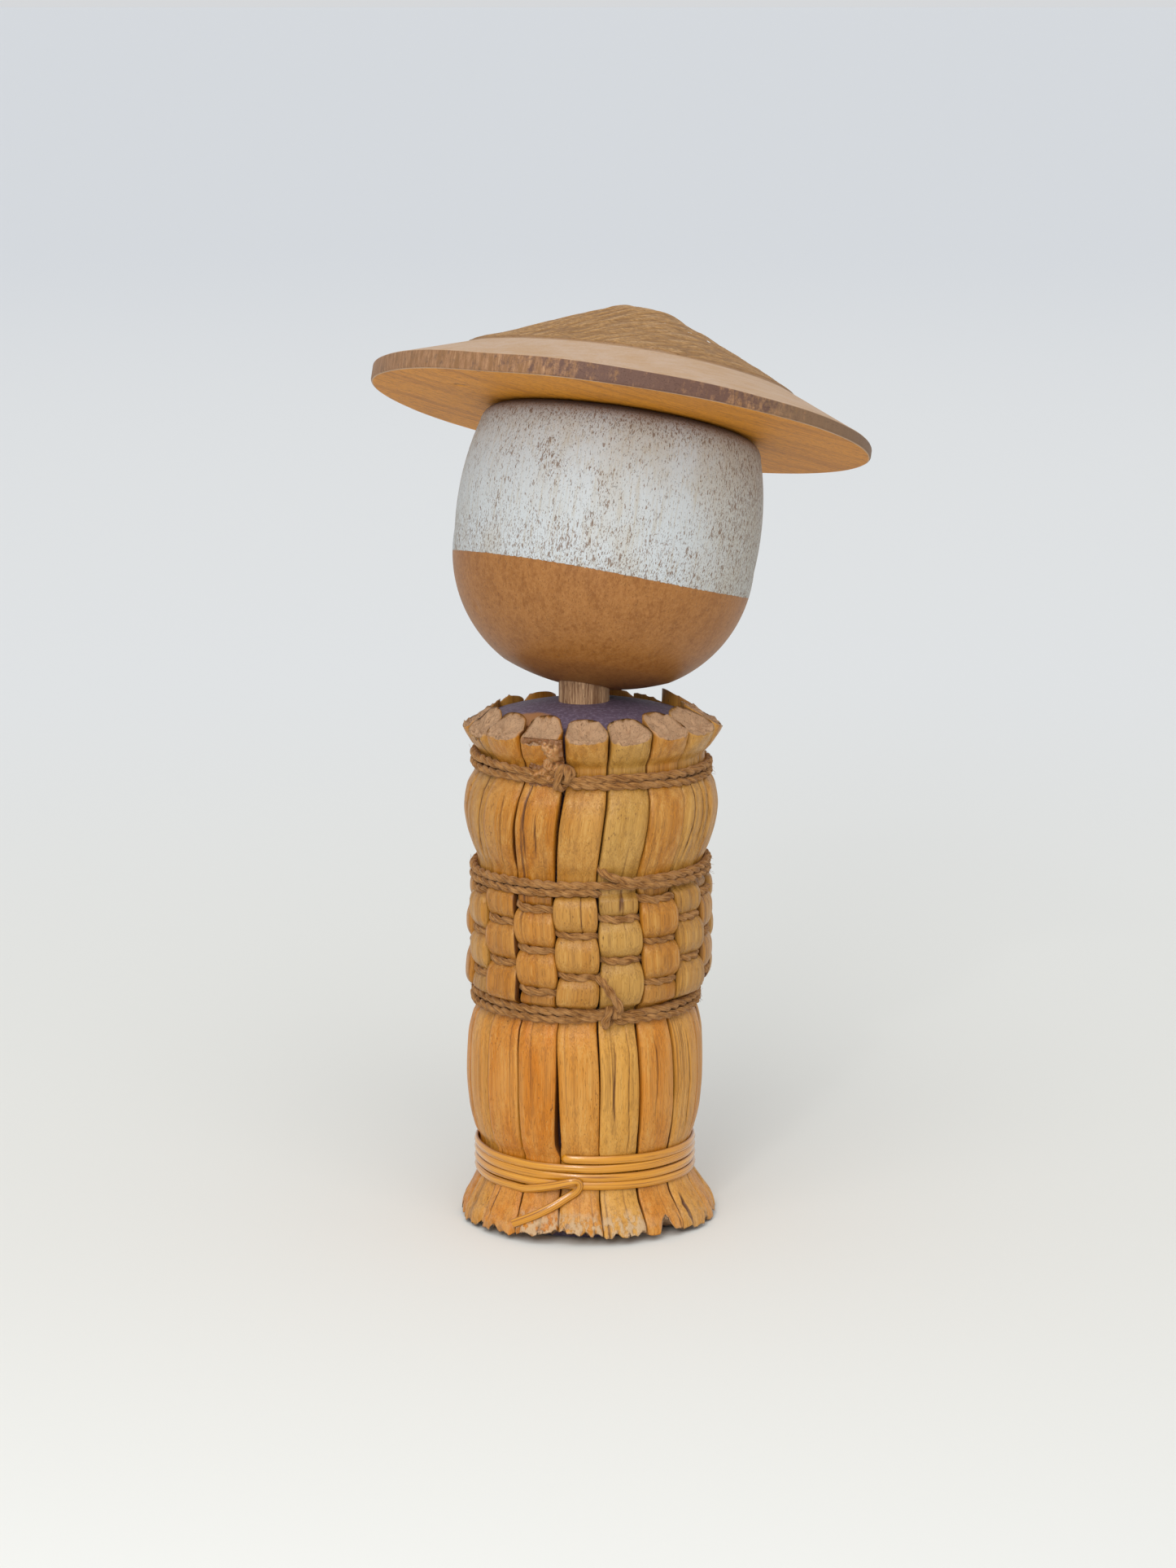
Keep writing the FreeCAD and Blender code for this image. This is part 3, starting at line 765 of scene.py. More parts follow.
def new_geometry_tree(name, inputs):
    """Starts a Geometry Nodes tree that takes a curve and the named sizes and gives a mesh."""
    tree = bpy.data.node_groups.new(name, "GeometryNodeTree")
    tree.interface.new_socket("Path", in_out="INPUT", socket_type="NodeSocketGeometry")
    for label, kind in inputs.items():
        tree.interface.new_socket(label, in_out="INPUT", socket_type=f"NodeSocket{kind}")
    tree.interface.new_socket("Mesh", in_out="OUTPUT", socket_type="NodeSocketGeometry")
    given = tree.nodes.new("NodeGroupInput").outputs
    return tree, given, tree.nodes.new("NodeGroupOutput").inputs["Mesh"]


def vector_maths(tree, operation, first, second=None, scale=None):
    inputs = {0: first}
    if second is not None:
        inputs[1] = second
    if scale is not None:
        inputs["Scale"] = scale
    return put(tree, "ShaderNodeVectorMath", inputs, operation=operation).outputs[0]


def smooth_path(tree, given):
    """The given path made smooth, with points a step apart, and the length along it."""
    smooth = put(tree, "GeometryNodeCurveSplineType", {"Curve": given["Path"]},
                 spline_type="CATMULL_ROM").outputs[0]
    path = put(tree, "GeometryNodeResampleCurve", {"Curve": smooth, "Length": given["Step"]},
               mode="LENGTH").outputs[0]
    return path, tree.nodes.new("GeometryNodeSplineParameter").outputs["Length"]


def marked(tree, geometry, name, value, kind="FLOAT"):
    """The geometry with a value kept on its points for the material to read."""
    return put(tree, "GeometryNodeStoreNamedAttribute", {
        "Geometry": geometry, "Name": name, "Value": value}, data_type=kind).outputs[0]


def swept(tree, path, section, **more):
    return put(tree, "GeometryNodeCurveToMesh", {
        "Curve": path, "Profile Curve": section, "Fill Caps": True, **more}).outputs[0]


def joined(tree, *pieces):
    join = tree.nodes.new("GeometryNodeJoinGeometry")
    for piece in pieces:
        tree.links.new(piece, join.inputs[0])
    return join.outputs[0]


def finish_mesh(tree, geometry, given, result):
    real = put(tree, "GeometryNodeRealizeInstances", {"Geometry": geometry}).outputs[0]
    soft = put(tree, "GeometryNodeSetShadeSmooth", {"Geometry": real}).outputs[0]
    made = put(tree, "GeometryNodeSetMaterial", {"Geometry": soft, "Material": given["Finish"]})
    tree.links.new(made.outputs[0], result)


def make_twine_tree():
    """Twists two plies about the path and sows short loose hairs over them."""
    tree, given, result = new_geometry_tree("two_ply_twine", {
        "Thickness": "Float", "Lay": "Float", "Step": "Float", "Hairs": "Float",
        "Hair Length": "Float", "Seed": "Int", "Finish": "Material"})
    path, length = smooth_path(tree, given)
    normal = tree.nodes.new("GeometryNodeInputNormal").outputs[0]
    tangent = tree.nodes.new("GeometryNodeInputTangent").outputs[0]
    beside = vector_maths(tree, "CROSS_PRODUCT", tangent, normal)
    angle = times(tree, maths(tree, "DIVIDE", length, given["Lay"]), 2 * math.pi)
    ply = times(tree, given["Thickness"], PLY_RADIUS)
    plies = []
    for start in (0.0, math.pi):
        here = maths(tree, "ADD", angle, start)
        out = vector_maths(tree, "SCALE", normal, scale=maths(tree, "COSINE", here))
        side = vector_maths(tree, "SCALE", beside, scale=maths(tree, "SINE", here))
        offset = vector_maths(tree, "SCALE", vector_maths(tree, "ADD", out, side),
                              scale=times(tree, given["Thickness"], PLY_OFFSET))
        plies.append(put(tree, "GeometryNodeSetPosition", {
            "Geometry": path, "Offset": offset}).outputs[0])
    both = marked(tree, joined(tree, *plies), "along", length)
    circle = put(tree, "GeometryNodeCurvePrimitiveCircle", {
        "Resolution": 9, "Radius": ply}).outputs[0]
    where = tree.nodes.new("GeometryNodeInputPosition").outputs[0]
    section = marked(tree, circle, "in_section", where, "FLOAT_VECTOR")
    lumps = put(tree, "ShaderNodeTexNoise", {
        "Vector": where, "Scale": 900.0, "Detail": 1.0}).outputs[0]
    uneven = put(tree, "ShaderNodeMapRange", {0: lumps, 1: 0.2, 2: 0.8, 3: 0.8, 4: 1.2}).outputs[0]
    body = swept(tree, both, section, Scale=uneven)
    sown = put(tree, "GeometryNodeDistributePointsOnFaces", {
        "Mesh": body, "Density": given["Hairs"], "Seed": given["Seed"]})
    bend = dict(zip(("Start", "Middle", "End"), HAIR_BEND))
    hair = put(tree, "GeometryNodeCurveQuadraticBezier", {"Resolution": 3, **bend}).outputs[0]
    hair_section = put(tree, "GeometryNodeCurvePrimitiveCircle", {
        "Resolution": 3, "Radius": HAIR_HALF}).outputs[0]
    one = swept(tree, hair, hair_section)
    chance = put(tree, "FunctionNodeRandomValue", {
        0: (-1.1,) * 3, 1: (1.1,) * 3, "Seed": given["Seed"]}, data_type="FLOAT_VECTOR")
    heading = vector_maths(tree, "ADD", sown.outputs["Normal"], chance.outputs[0])
    turned = put(tree, "FunctionNodeAlignRotationToVector", {"Vector": heading},
                 axis="Z").outputs[0]
    sizes = put(tree, "FunctionNodeRandomValue", {2: 0.35, 3: 1.0, "Seed": given["Seed"]},
                data_type="FLOAT").outputs[1]
    size = times(tree, sizes, given["Hair Length"])
    hairs = put(tree, "GeometryNodeInstanceOnPoints", {
        "Points": sown.outputs["Points"], "Instance": one, "Rotation": turned,
        "Scale": size}).outputs[0]
    finish_mesh(tree, joined(tree, body, hairs), given, result)
    return tree


def strip_place(tree, across, along):
    """Where a point is in a strip's section and along it, with a scale for each, in metres."""
    section = stretched(tree, attribute(tree, "in_section", "Vector"), (across, across, 0))
    length = times(tree, attribute(tree, "along"), along)
    lift = put(tree, "ShaderNodeCombineXYZ", {0: 0.0, 1: 0.0, 2: length}).outputs[0]
    return vector_maths(tree, "ADD", section, lift)


def paint_twine():
    material, tree, shader = new_material("twine", Roughness=0.88, Sheen_Weight=0.25,
                                          Specular_IOR_Level=0.2)
    shader.inputs["Sheen Tint"].default_value = (0.9, 0.62, 0.42, 1.0)
    fibres = noise(tree, strip_place(tree, 4200, 420), 1.0, 3.0, 0.65)
    patches = noise(tree, object_millimetres(tree), 0.45, 3.0, 0.6)
    colour = mixed(tree, fade(tree, fibres, 0.34, 0.62), TWINE_DARK, TWINE_MID)
    colour = layered(
        tree, colour,
        (fade(tree, fibres, 0.52, 0.8), TWINE_PALE),
        (fade(tree, patches, 0.4, 0.7, 0.0, 0.45), TWINE_PALE))
    feed(tree, shader, Base_Color=colour, Normal=bump(tree, fibres, 0.22))
    return material


def laid_along(name, paths, tree, sizes):
    """Runs a Geometry Nodes tree over paths, given as degrees, radius and height, and keeps the
    result as a plain mesh."""
    curve = bpy.data.curves.new(name + "_path", "CURVE")
    curve.dimensions = "3D"
    for path in paths:
        angle, radius, height = np.array(path, float).T
        points = in_metres(angle, radius, height)
        spline = curve.splines.new("POLY")
        spline.points.add(len(points) - 1)
        spline.points.foreach_set("co", np.c_[points, np.ones(len(points))].ravel())
    line = add_object(name + "_path", curve)
    modifier = line.modifiers.new("laid", "NODES")
    modifier.node_group = tree
    for item in tree.interface.items_tree:
        if item.in_out == "INPUT" and item.name in sizes:
            modifier[item.identifier] = sizes[item.name]
    bpy.context.view_layer.update()
    ready = bpy.context.evaluated_depsgraph_get()
    mesh = bpy.data.meshes.new_from_object(line.evaluated_get(ready), depsgraph=ready)
    mesh.name = name
    bpy.data.objects.remove(line)
    return add_object(name, mesh)


def tie_rounds(level, tilt, seat, start, first_side):
    """Two rounds side by side from an angle: the first on one side of the level, the second on
    the other, crossing over each other beside the knot."""
    points = []
    half = TWINE_THICK / 2
    whole = TIE_ROUNDS * ROUND
    for angle in np.arange(start, start + whole + 0.1, TIE_STEP):
        done = (angle - start) / whole
        side = first_side * half * math.tanh((0.5 - done) * 22)
        lean = tilt * math.cos(math.radians(180 - angle))
        unevenness = 0.09 * math.sin(angle * 0.11) + 0.07 * math.sin(angle * 0.047 + 2)
        points.append((angle, seat + half + 0.06 * math.sin(angle * 0.33), level + lean + side
                       + unevenness))
    return points


def hitch(angle, seat, level):
    """The end of a tie, taken once over both rounds and pulled under itself."""
    out = seat + TWINE_THICK
    return [(angle - 0.5, seat + 0.9, level + 2.5), (angle - 1.5, out + 0.75, level + 1.5),
            (angle - 2.3, out + 0.95, level), (angle - 2.6, out + 0.5, level - 1.3),
            (angle - 1.2, seat + 0.7, level - 1.7), (angle + 1.2, seat + 0.2, level - 0.3),
            (angle + 1.6, out - 0.4, level + 2.2), (angle + 2.2, out + 0.85, level + 1.2),
            (angle + 2.6, out + 0.6, level + 0.1)]


def weft_points():
    """Over one stem and under the next, with a little sag where the twine shows."""
    points = []
    for count in (WEFT_STEMS.start - 1, *WEFT_STEMS, WEFT_STEMS.stop):
        middle = stem_angle(WEFT_FIRST_STEM) + SHARE * count + 3 * ROUND
        level = weft_height(count)
        twist = float(flowing(BUNDLE_TWIST, level))
        over = count % 2 == 0
        for part, sag in ((-0.3, 0.0), (0.0, -WEFT_SAG), (0.3, 0.0)):
            radius = (WEFT_OVER - 0.35 * abs(part)) if over else (WEFT_UNDER + 0.5 * abs(part))
            points.append((middle + twist + part * SHARE, radius, level + (sag if over else 0)))
    return points


def rounds_on(points, rounds):
    """The same points, reached after so many rounds of the stems."""
    return [(angle + rounds * ROUND, radius, height) for angle, radius, height in points]


upper_start = 274.7
woven_cord = [(upper_start - 0.6, 20.6, 77.6), (upper_start + 0.3, 22.9, 77.0),
              (upper_start + 2.0, 24.3, 76.3), (upper_start + 6, 24.6, 75.6)]
woven_cord += tie_rounds(UPPER_TIE, UPPER_TIE_TILT, UPPER_SEAT, upper_start + 14, 1)[:-2]
woven_cord += weft_points()
woven_cord += rounds_on([(273.5, 23.6, 54.9), (276.5, 25.2, 54.0), (280, 25.8, 52.0),
                         (283.2, 25.8, 50.2), (285.0, 25.3, 48.9), (284.4, 24.2, 48.3)], 7)
lower_cord = [(LOWER_KNOT + 2, 21.4, 47.5)]
lower_cord += tie_rounds(LOWER_TIE, LOWER_TIE_TILT, LOWER_SEAT, LOWER_KNOT + 4, -1)
lower_cord += rounds_on(hitch(LOWER_KNOT, LOWER_SEAT, LOWER_TIE), TIE_ROUNDS)
top_cord = [(TOP_KNOT + 1, 21.6, 95.5)]
top_cord += tie_rounds(TOP_TIE, TOP_TIE_TILT, TOP_SEAT, TOP_KNOT + 4, -1)
top_cord += rounds_on(hitch(TOP_KNOT, TOP_SEAT, TOP_TIE + 0.3), TIE_ROUNDS)

twine_tree = make_twine_tree()
twine_sizes = {"Thickness": TWINE_THICK / 1000, "Lay": TWINE_LAY / 1000, "Step": 0.0004,
               "Hairs": HAIRS_PER_SQUARE_METRE, "Hair Length": HAIR_LONG / 1000, "Seed": 5,
               "Finish": paint_twine()}
woven_twine = laid_along("woven_twine", [woven_cord, lower_cord], twine_tree, twine_sizes)
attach(woven_twine, "torso")
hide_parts("upper_binding", "weft", "lower_binding")
top_twine = laid_along("top_twine", [top_cord], twine_tree, twine_sizes)
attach(top_twine, "torso")
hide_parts("top_binding")

# ---------------------------------------------------------------------------------------------
# The glue: a crust of old amber glue over the top knot and the stem beside it, dried in lumps. It
# holds the knot and the torn end of that stem.

GLUE_ANGLES = (238.0, 256.5)
GLUE_HEIGHTS = (93.6, 103.6)
# Middle of each lump in degrees and height, its two half widths, and its thickness.
GLUE_LUMPS = (
    (251.5, 100.6, 3.6, 1.9, 1.5), (249, 98.3, 2.6, 1.6, 1.3), (253.2, 97.6, 2.0, 1.1, 1.4),
    (246.5, 96.5, 2.2, 1.0, 1.3), (243.5, 96.1, 1.8, 0.8, 1.1), (249.5, 95.6, 1.7, 0.8, 1.2),
    (253.8, 101.4, 1.6, 1.4, 1.2), (240.8, 96.3, 1.2, 0.6, 0.8), (252.0, 95.2, 1.2, 0.6, 1.1))
GLUE_SEAT = 24.0
GLUE_SUNK = 1.3
GLUE_AMBER = (0.36, 0.15, 0.035)
GLUE_PALE = (0.50, 0.26, 0.10)
GLUE_DARK = (0.15, 0.05, 0.012)


def make_glue(material):
    columns, rows = 110, 90
    angle = np.linspace(*GLUE_ANGLES, columns)[None, :] + np.zeros((rows, 1))
    height = np.linspace(*GLUE_HEIGHTS, rows)[:, None] + np.zeros((1, columns))
    thick = np.full(angle.shape, -0.8)
    for place, level, wide, tall, deep in GLUE_LUMPS:
        lump = hump(angle, place, wide) * hump(height, level, tall)
        thick = np.maximum(thick, deep * (1.25 * lump - 0.35))
    thick = thick + 0.16 * rough(77, angle * 1.1, height * 1.9)
    thick = thick + 0.08 * rough(78, angle * 3, height * 4)
    under = np.maximum(flowing(STEM_OUTSIDE, height), GLUE_SEAT)
    outer = in_metres(angle, under + np.clip(thick, -0.9, 2.4), height)
    inner = in_metres(angle, under - GLUE_SUNK, height)
    shell = np.concatenate([outer, inner[:, ::-1]], axis=1)
    middle = [shell[row].mean(0) for row in (0, -1)]
    lumpiness = np.concatenate([thick, thick * 0], axis=1)
    return closed_shell("glue_crust", shell, middle, material, numbers={"thick": lumpiness})


def paint_glue():
    material, tree, shader = new_material("old_glue", Roughness=0.42, Subsurface_Weight=0.15,
                                          Subsurface_Scale=0.001)
    place = object_millimetres(tree)
    cloud = noise(tree, place, 0.9, 4.0, 0.65)
    colour = mixed(tree, fade(tree, cloud, 0.36, 0.6), GLUE_AMBER, GLUE_PALE)
    thin = fade(tree, attribute(tree, "thick"), 0.0, 0.55, 0.7, 0.0)
    colour = mixed(tree, thin, colour, GLUE_DARK)
    feed(tree, shader, Base_Color=colour, Normal=bump(tree, cloud, 0.3))
    return material


glue_crust = make_glue(paint_glue())
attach(glue_crust, "torso")

# ---------------------------------------------------------------------------------------------
# The cane wrap: one flat strip of split cane, wound four times round the stems above the foot. It
# starts from behind a stem. Its other end is folded under the rounds and hangs down over the foot.

CANE_WIDTH = 1.8
CANE_THICK = 1.05
CANE_TOP = 17.0
CANE_PITCH = 1.78
CANE_SEAT = 21.75
CANE_START = 259.0
CANE_ROUNDS = 4
CANE_STEP = 8
# The section, in shares of its width and thickness: how far back the flat side is, and the ribs.
CANE_BACK = -0.22
CANE_RIB_HIGH = 0.028
CANE_RIBS = 26.0
CANE_GOLD = (0.64, 0.26, 0.006)
CANE_PALE = (0.84, 0.48, 0.08)
CANE_DARK = (0.26, 0.085, 0.003)


def make_cane_tree():
    """A strip with a flat back and a rounded face, which always faces away from the core."""
    tree, given, result = new_geometry_tree("split_cane", {
        "Width": "Float", "Thickness": "Float", "Step": "Float", "Finish": "Material"})
    path, length = smooth_path(tree, given)
    where = tree.nodes.new("GeometryNodeInputPosition").outputs[0]
    level = vector_maths(tree, "MULTIPLY", where, (1, 1, 0))
    outwards = vector_maths(tree, "NORMALIZE", level)
    facing = put(tree, "GeometryNodeSetCurveNormal", {"Curve": path, "Normal": outwards},
                 mode="FREE").outputs[0]
    circle = put(tree, "GeometryNodeCurvePrimitiveCircle", {
        "Resolution": 20, "Radius": 0.5}).outputs[0]
    parts = put(tree, "ShaderNodeSeparateXYZ", {0: where})
    rounded = maths(tree, "MAXIMUM", parts.outputs[0], CANE_BACK)
    ribs = maths(tree, "COSINE", times(tree, parts.outputs[1], CANE_RIBS))
    rib = times(tree, ribs, CANE_RIB_HIGH)
    across = times(tree, parts.outputs[1], given["Width"])
    deep = times(tree, maths(tree, "ADD", rounded, rib), given["Thickness"])
    flat = put(tree, "ShaderNodeCombineXYZ", {0: deep, 1: across, 2: 0.0}).outputs[0]
    shaped = put(tree, "GeometryNodeSetPosition", {
        "Geometry": circle, "Position": flat}).outputs[0]
    section = marked(tree, shaped, "in_section", where, "FLOAT_VECTOR")
    body = swept(tree, marked(tree, facing, "along", length), section)
    finish_mesh(tree, body, given, result)
    return tree


def paint_cane():
    material, tree, shader = new_material("split_cane", Coat_Weight=0.9, Coat_Roughness=0.13,
                                          Specular_IOR_Level=0.35)
    fibres = noise(tree, strip_place(tree, 5200, 60), 1.0, 3.0, 0.6)
    colour = mixed(tree, fade(tree, fibres, 0.3, 0.5), CANE_DARK, CANE_GOLD)
    colour = mixed(tree, fade(tree, fibres, 0.52, 0.78, 0.0, 0.6), colour, CANE_PALE)
    # Painted shade: darker along both edges of the strip, where one round meets the next.
    off_middle = distance(tree, attribute(tree, "in_section", "Vector"))
    colour = mixed(tree, fade(tree, off_middle, 0.00070, 0.00092, 0.0, 0.8), colour, CANE_DARK)
    feed(tree, shader, Base_Color=colour, Roughness=fade(tree, fibres, 0.3, 0.7, 0.42, 0.26),
         Normal=bump(tree, fibres, 0.09))
    return material


cane_path = [(CANE_START - 2.5, 20.9, 17.6), (CANE_START - 0.8, 21.7, 17.4)]
for angle in np.arange(CANE_START + 2, CANE_START + CANE_ROUNDS * ROUND - 18, CANE_STEP):
    height = CANE_TOP - CANE_PITCH * (angle - CANE_START) / ROUND
    height += 0.12 * math.sin(math.radians(angle * 1.7)) - 0.25 * math.cos(math.radians(angle))
    radius = CANE_SEAT + CANE_THICK / 2 + 0.05 * math.sin(angle * 0.21)
    cane_path.append((angle, radius, height))
folded_end = [(246.5, 22.9, 10.9), (254, 23.4, 11.7), (260, 23.7, 12.4), (264.5, 23.7, 12.8),
              (266.8, 23.2, 12.6), (267.2, 22.6, 11.6), (265.2, 22.3, 10.4), (260.5, 22.7, 9.2),
              (254, 23.9, 7.6), (246, 25.2, 5.8), (239, 26.1, 4.4), (235.6, 26.5, 3.7)]
cane_path += rounds_on(folded_end, CANE_ROUNDS)
cane_wrap = laid_along("cane_strip", [cane_path], make_cane_tree(), {
    "Width": CANE_WIDTH / 1000, "Thickness": CANE_THICK / 1000, "Step": 0.0006,
    "Finish": paint_cane()})
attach(cane_wrap, "torso")
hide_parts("cane_wrap")

# ---------------------------------------------------------------------------------------------
# The head: turned from one block, with its axis leaning to the right and back. Its lower part is
# bare oiled wood and the rest has thin white paint, worn down into the pores. An upright bore
# takes the neck and a socket in the flat top takes the hat's peg.

HEAD_FOOT = (-0.8, 0.0, 110.0)
LEAN_AXIS = np.array(next(
    joint["axis"] for joint in frame["joints"] if joint["name"] == "hat_turn"))
NECK_BORE = 5.21
NECK_BORE_END = 127.0
CHIN = (17.0, 3.5)
WIDEST = (30.7, 28.0)
BROW = (28.8, 50.7)
CROWN = (25.6, 54.0)
# How far the outline bows out between those points, from the chin up.
BOWS = (3.9, 1.1, 0.8)
SOCKET = 4.06
HEAD_SOCKET_DEEP = 15.0
# Nicks: angle, height up the head, half width and depth.
HEAD_NICKS = ((281, 18.6, 0.9, 0.35), (283.5, 16.9, 0.7, 0.3), (289, 14.6, 1.2, 0.15),
              (205, 12.0, 1.0, 0.2), (120, 20.0, 1.1, 0.3))
PAINT_LINE = 22.6
PAINT_LINE_TILT = 0.6
PAINT_LINE_DIP = 2.6
PAINT_LINE_WAVE = 0.22
PAINT_WHITE = (0.52, 0.55, 0.56)
PAINT_WARM = (0.40, 0.33, 0.22)
PAINT_PORES = (0.17, 0.10, 0.058)
HEAD_BARE = (0.33, 0.132, 0.027)
HEAD_BARE_DARK = (0.21, 0.068, 0.006)
HEAD_BARE_PALE = (0.44, 0.20, 0.06)
# Just under the hat: a band that is partly stain and partly painted shade, and a painted shadow
# line where the hat sits.
CROWN_STAIN_AND_SHADE = (0.16, 0.085, 0.07)
CROWN_SHADOW = (0.04, 0.022, 0.018)
HEAD_COLUMNS = 300


def leaning(points, along=0.0):
    """Points in a turned piece's own frame, in millimetres with its axis as Z, put on the head's
    leaning axis and given in metres."""
    flat = math.hypot(LEAN_AXIS[0], LEAN_AXIS[1])
    pivot = np.array([-LEAN_AXIS[1], LEAN_AXIS[0], 0]) / flat
    cosine, sine = LEAN_AXIS[2], flat
    points = points + np.array([0, 0, along])
    turned = (points * cosine + np.cross(pivot, points) * sine
              + pivot * (points @ pivot)[..., None] * (1 - cosine))
    return (turned + np.array(HEAD_FOOT)) / 1000


def bowed(start, end, swell, count):
    """Points on an arc between two points, by how far it stands out from the straight line."""
    start, end = np.array(start, float), np.array(end, float)
    chord = end - start
    length = math.hypot(*chord)
    outwards = np.array([chord[1], -chord[0]]) / length
    radius = (length ** 2 / 4 + swell ** 2) / (2 * abs(swell))
    centre = (start + end) / 2 + outwards * (swell - math.copysign(radius, swell))
    first, last = (math.atan2(*(point - centre)[::-1]) for point in (start, end))
    turn = first + np.linspace(0, 1, count) * ((last - first + math.pi) % (2 * math.pi) - math.pi)
    return centre + radius * np.stack([np.cos(turn), np.sin(turn)], 1)


def polar(radius, angle, height):
    return np.stack([radius * np.cos(angle), radius * np.sin(angle), height + 0 * angle], axis=-1)


def make_head(material):
    angle = np.linspace(0, 2 * math.pi, HEAD_COLUMNS + 1)[:-1]
    ball = (CHIN[0] ** 2 + CHIN[1] ** 2) / (2 * CHIN[1])
    to_own = np.linalg.inv(np.stack([leaning(axis) * 1000 - np.array(HEAD_FOOT)
                                     for axis in np.eye(3)], axis=1))

    # The neck's bore stands upright, so its mouth is worked out where it meets the leaning chin.
    centre = np.array(HEAD_FOOT) + LEAN_AXIS * ball
    x = HEAD_FOOT[0] + NECK_BORE * np.cos(angle)
    y = NECK_BORE * np.sin(angle)
    mouth_z = centre[2] - np.sqrt(ball ** 2 - (x - centre[0]) ** 2 - (y - centre[1]) ** 2)
    bore = [np.stack([x, y, level], 1) for level in (
        np.full_like(x, NECK_BORE_END), np.full_like(x, 120.0), mouth_z + 0.5, mouth_z + 0.05)]
    rows = [(ring - np.array(HEAD_FOOT)) @ to_own.T for ring in bore]
    mouth = rows[-1]
    mouth_radius = np.hypot(mouth[:, 0], mouth[:, 1])
    mouth_angle = np.unwrap(np.arctan2(mouth[:, 1], mouth[:, 0]))
    mouth_angle += 2 * math.pi * round((angle[0] - mouth_angle[0]) / (2 * math.pi))
    for share in (0.03, 0.08, 0.2, 0.35, 0.5, 0.65, 0.8, 0.9):
        radius = mouth_radius * (1 - share) + CHIN[0] * share
        around = mouth_angle * (1 - share) + angle * share
        rows.append(polar(radius, around, ball - np.sqrt(ball ** 2 - radius ** 2)))
    outline = np.concatenate([
        bowed(CHIN, WIDEST, BOWS[0], 60), bowed(WIDEST, BROW, BOWS[1], 46)[1:],
        bowed(BROW, CROWN, BOWS[2], 12)[1:],
        [(radius, CROWN[1]) for radius in (25.2, 24, 18, 12, 7, SOCKET + 0.2)]])
    for radius, height in outline:
        relief = 0.05 * rough(510, np.cos(angle) * 3, height * 0.08 + 0 * angle)
        here = radius + relief * (radius > 10)
        for place, level, size, deep in HEAD_NICKS:
            apart = (radius * (angle - math.radians(place))) ** 2 + (height - level) ** 2
            here = here - deep * np.exp(-apart / size ** 2)
        rows.append(polar(here, angle, height))
    for deep in (0.2, 7, HEAD_SOCKET_DEEP):
        rows.append(polar(SOCKET, angle, CROWN[1] - deep))
    own = np.array(rows)
    line = PAINT_LINE + PAINT_LINE_TILT * (1 - np.cos(angle)) + PAINT_LINE_DIP * np.sin(angle)
    line = line + PAINT_LINE_WAVE * np.sin(angle * 3 + 1)
    above = own[..., 2] - line
    above[:len(bore)] = -9
    # The bore and the socket, which get painted shade inside.
    hole_shade = np.zeros(above.shape)
    hole_shade[:3] = 1
    hole_shade[-2:] = 1
    own_first = (np.array([HEAD_FOOT[0], 0, NECK_BORE_END]) - np.array(HEAD_FOOT)) @ to_own.T
    poles = (leaning(own_first), leaning(np.array([0, 0, CROWN[1] - HEAD_SOCKET_DEEP])))
    return closed_shell("turned_head", leaning(own), poles, material,
                        numbers={"above_line": above, "hole_shade": hole_shade},
                        vectors={"own_place": own})


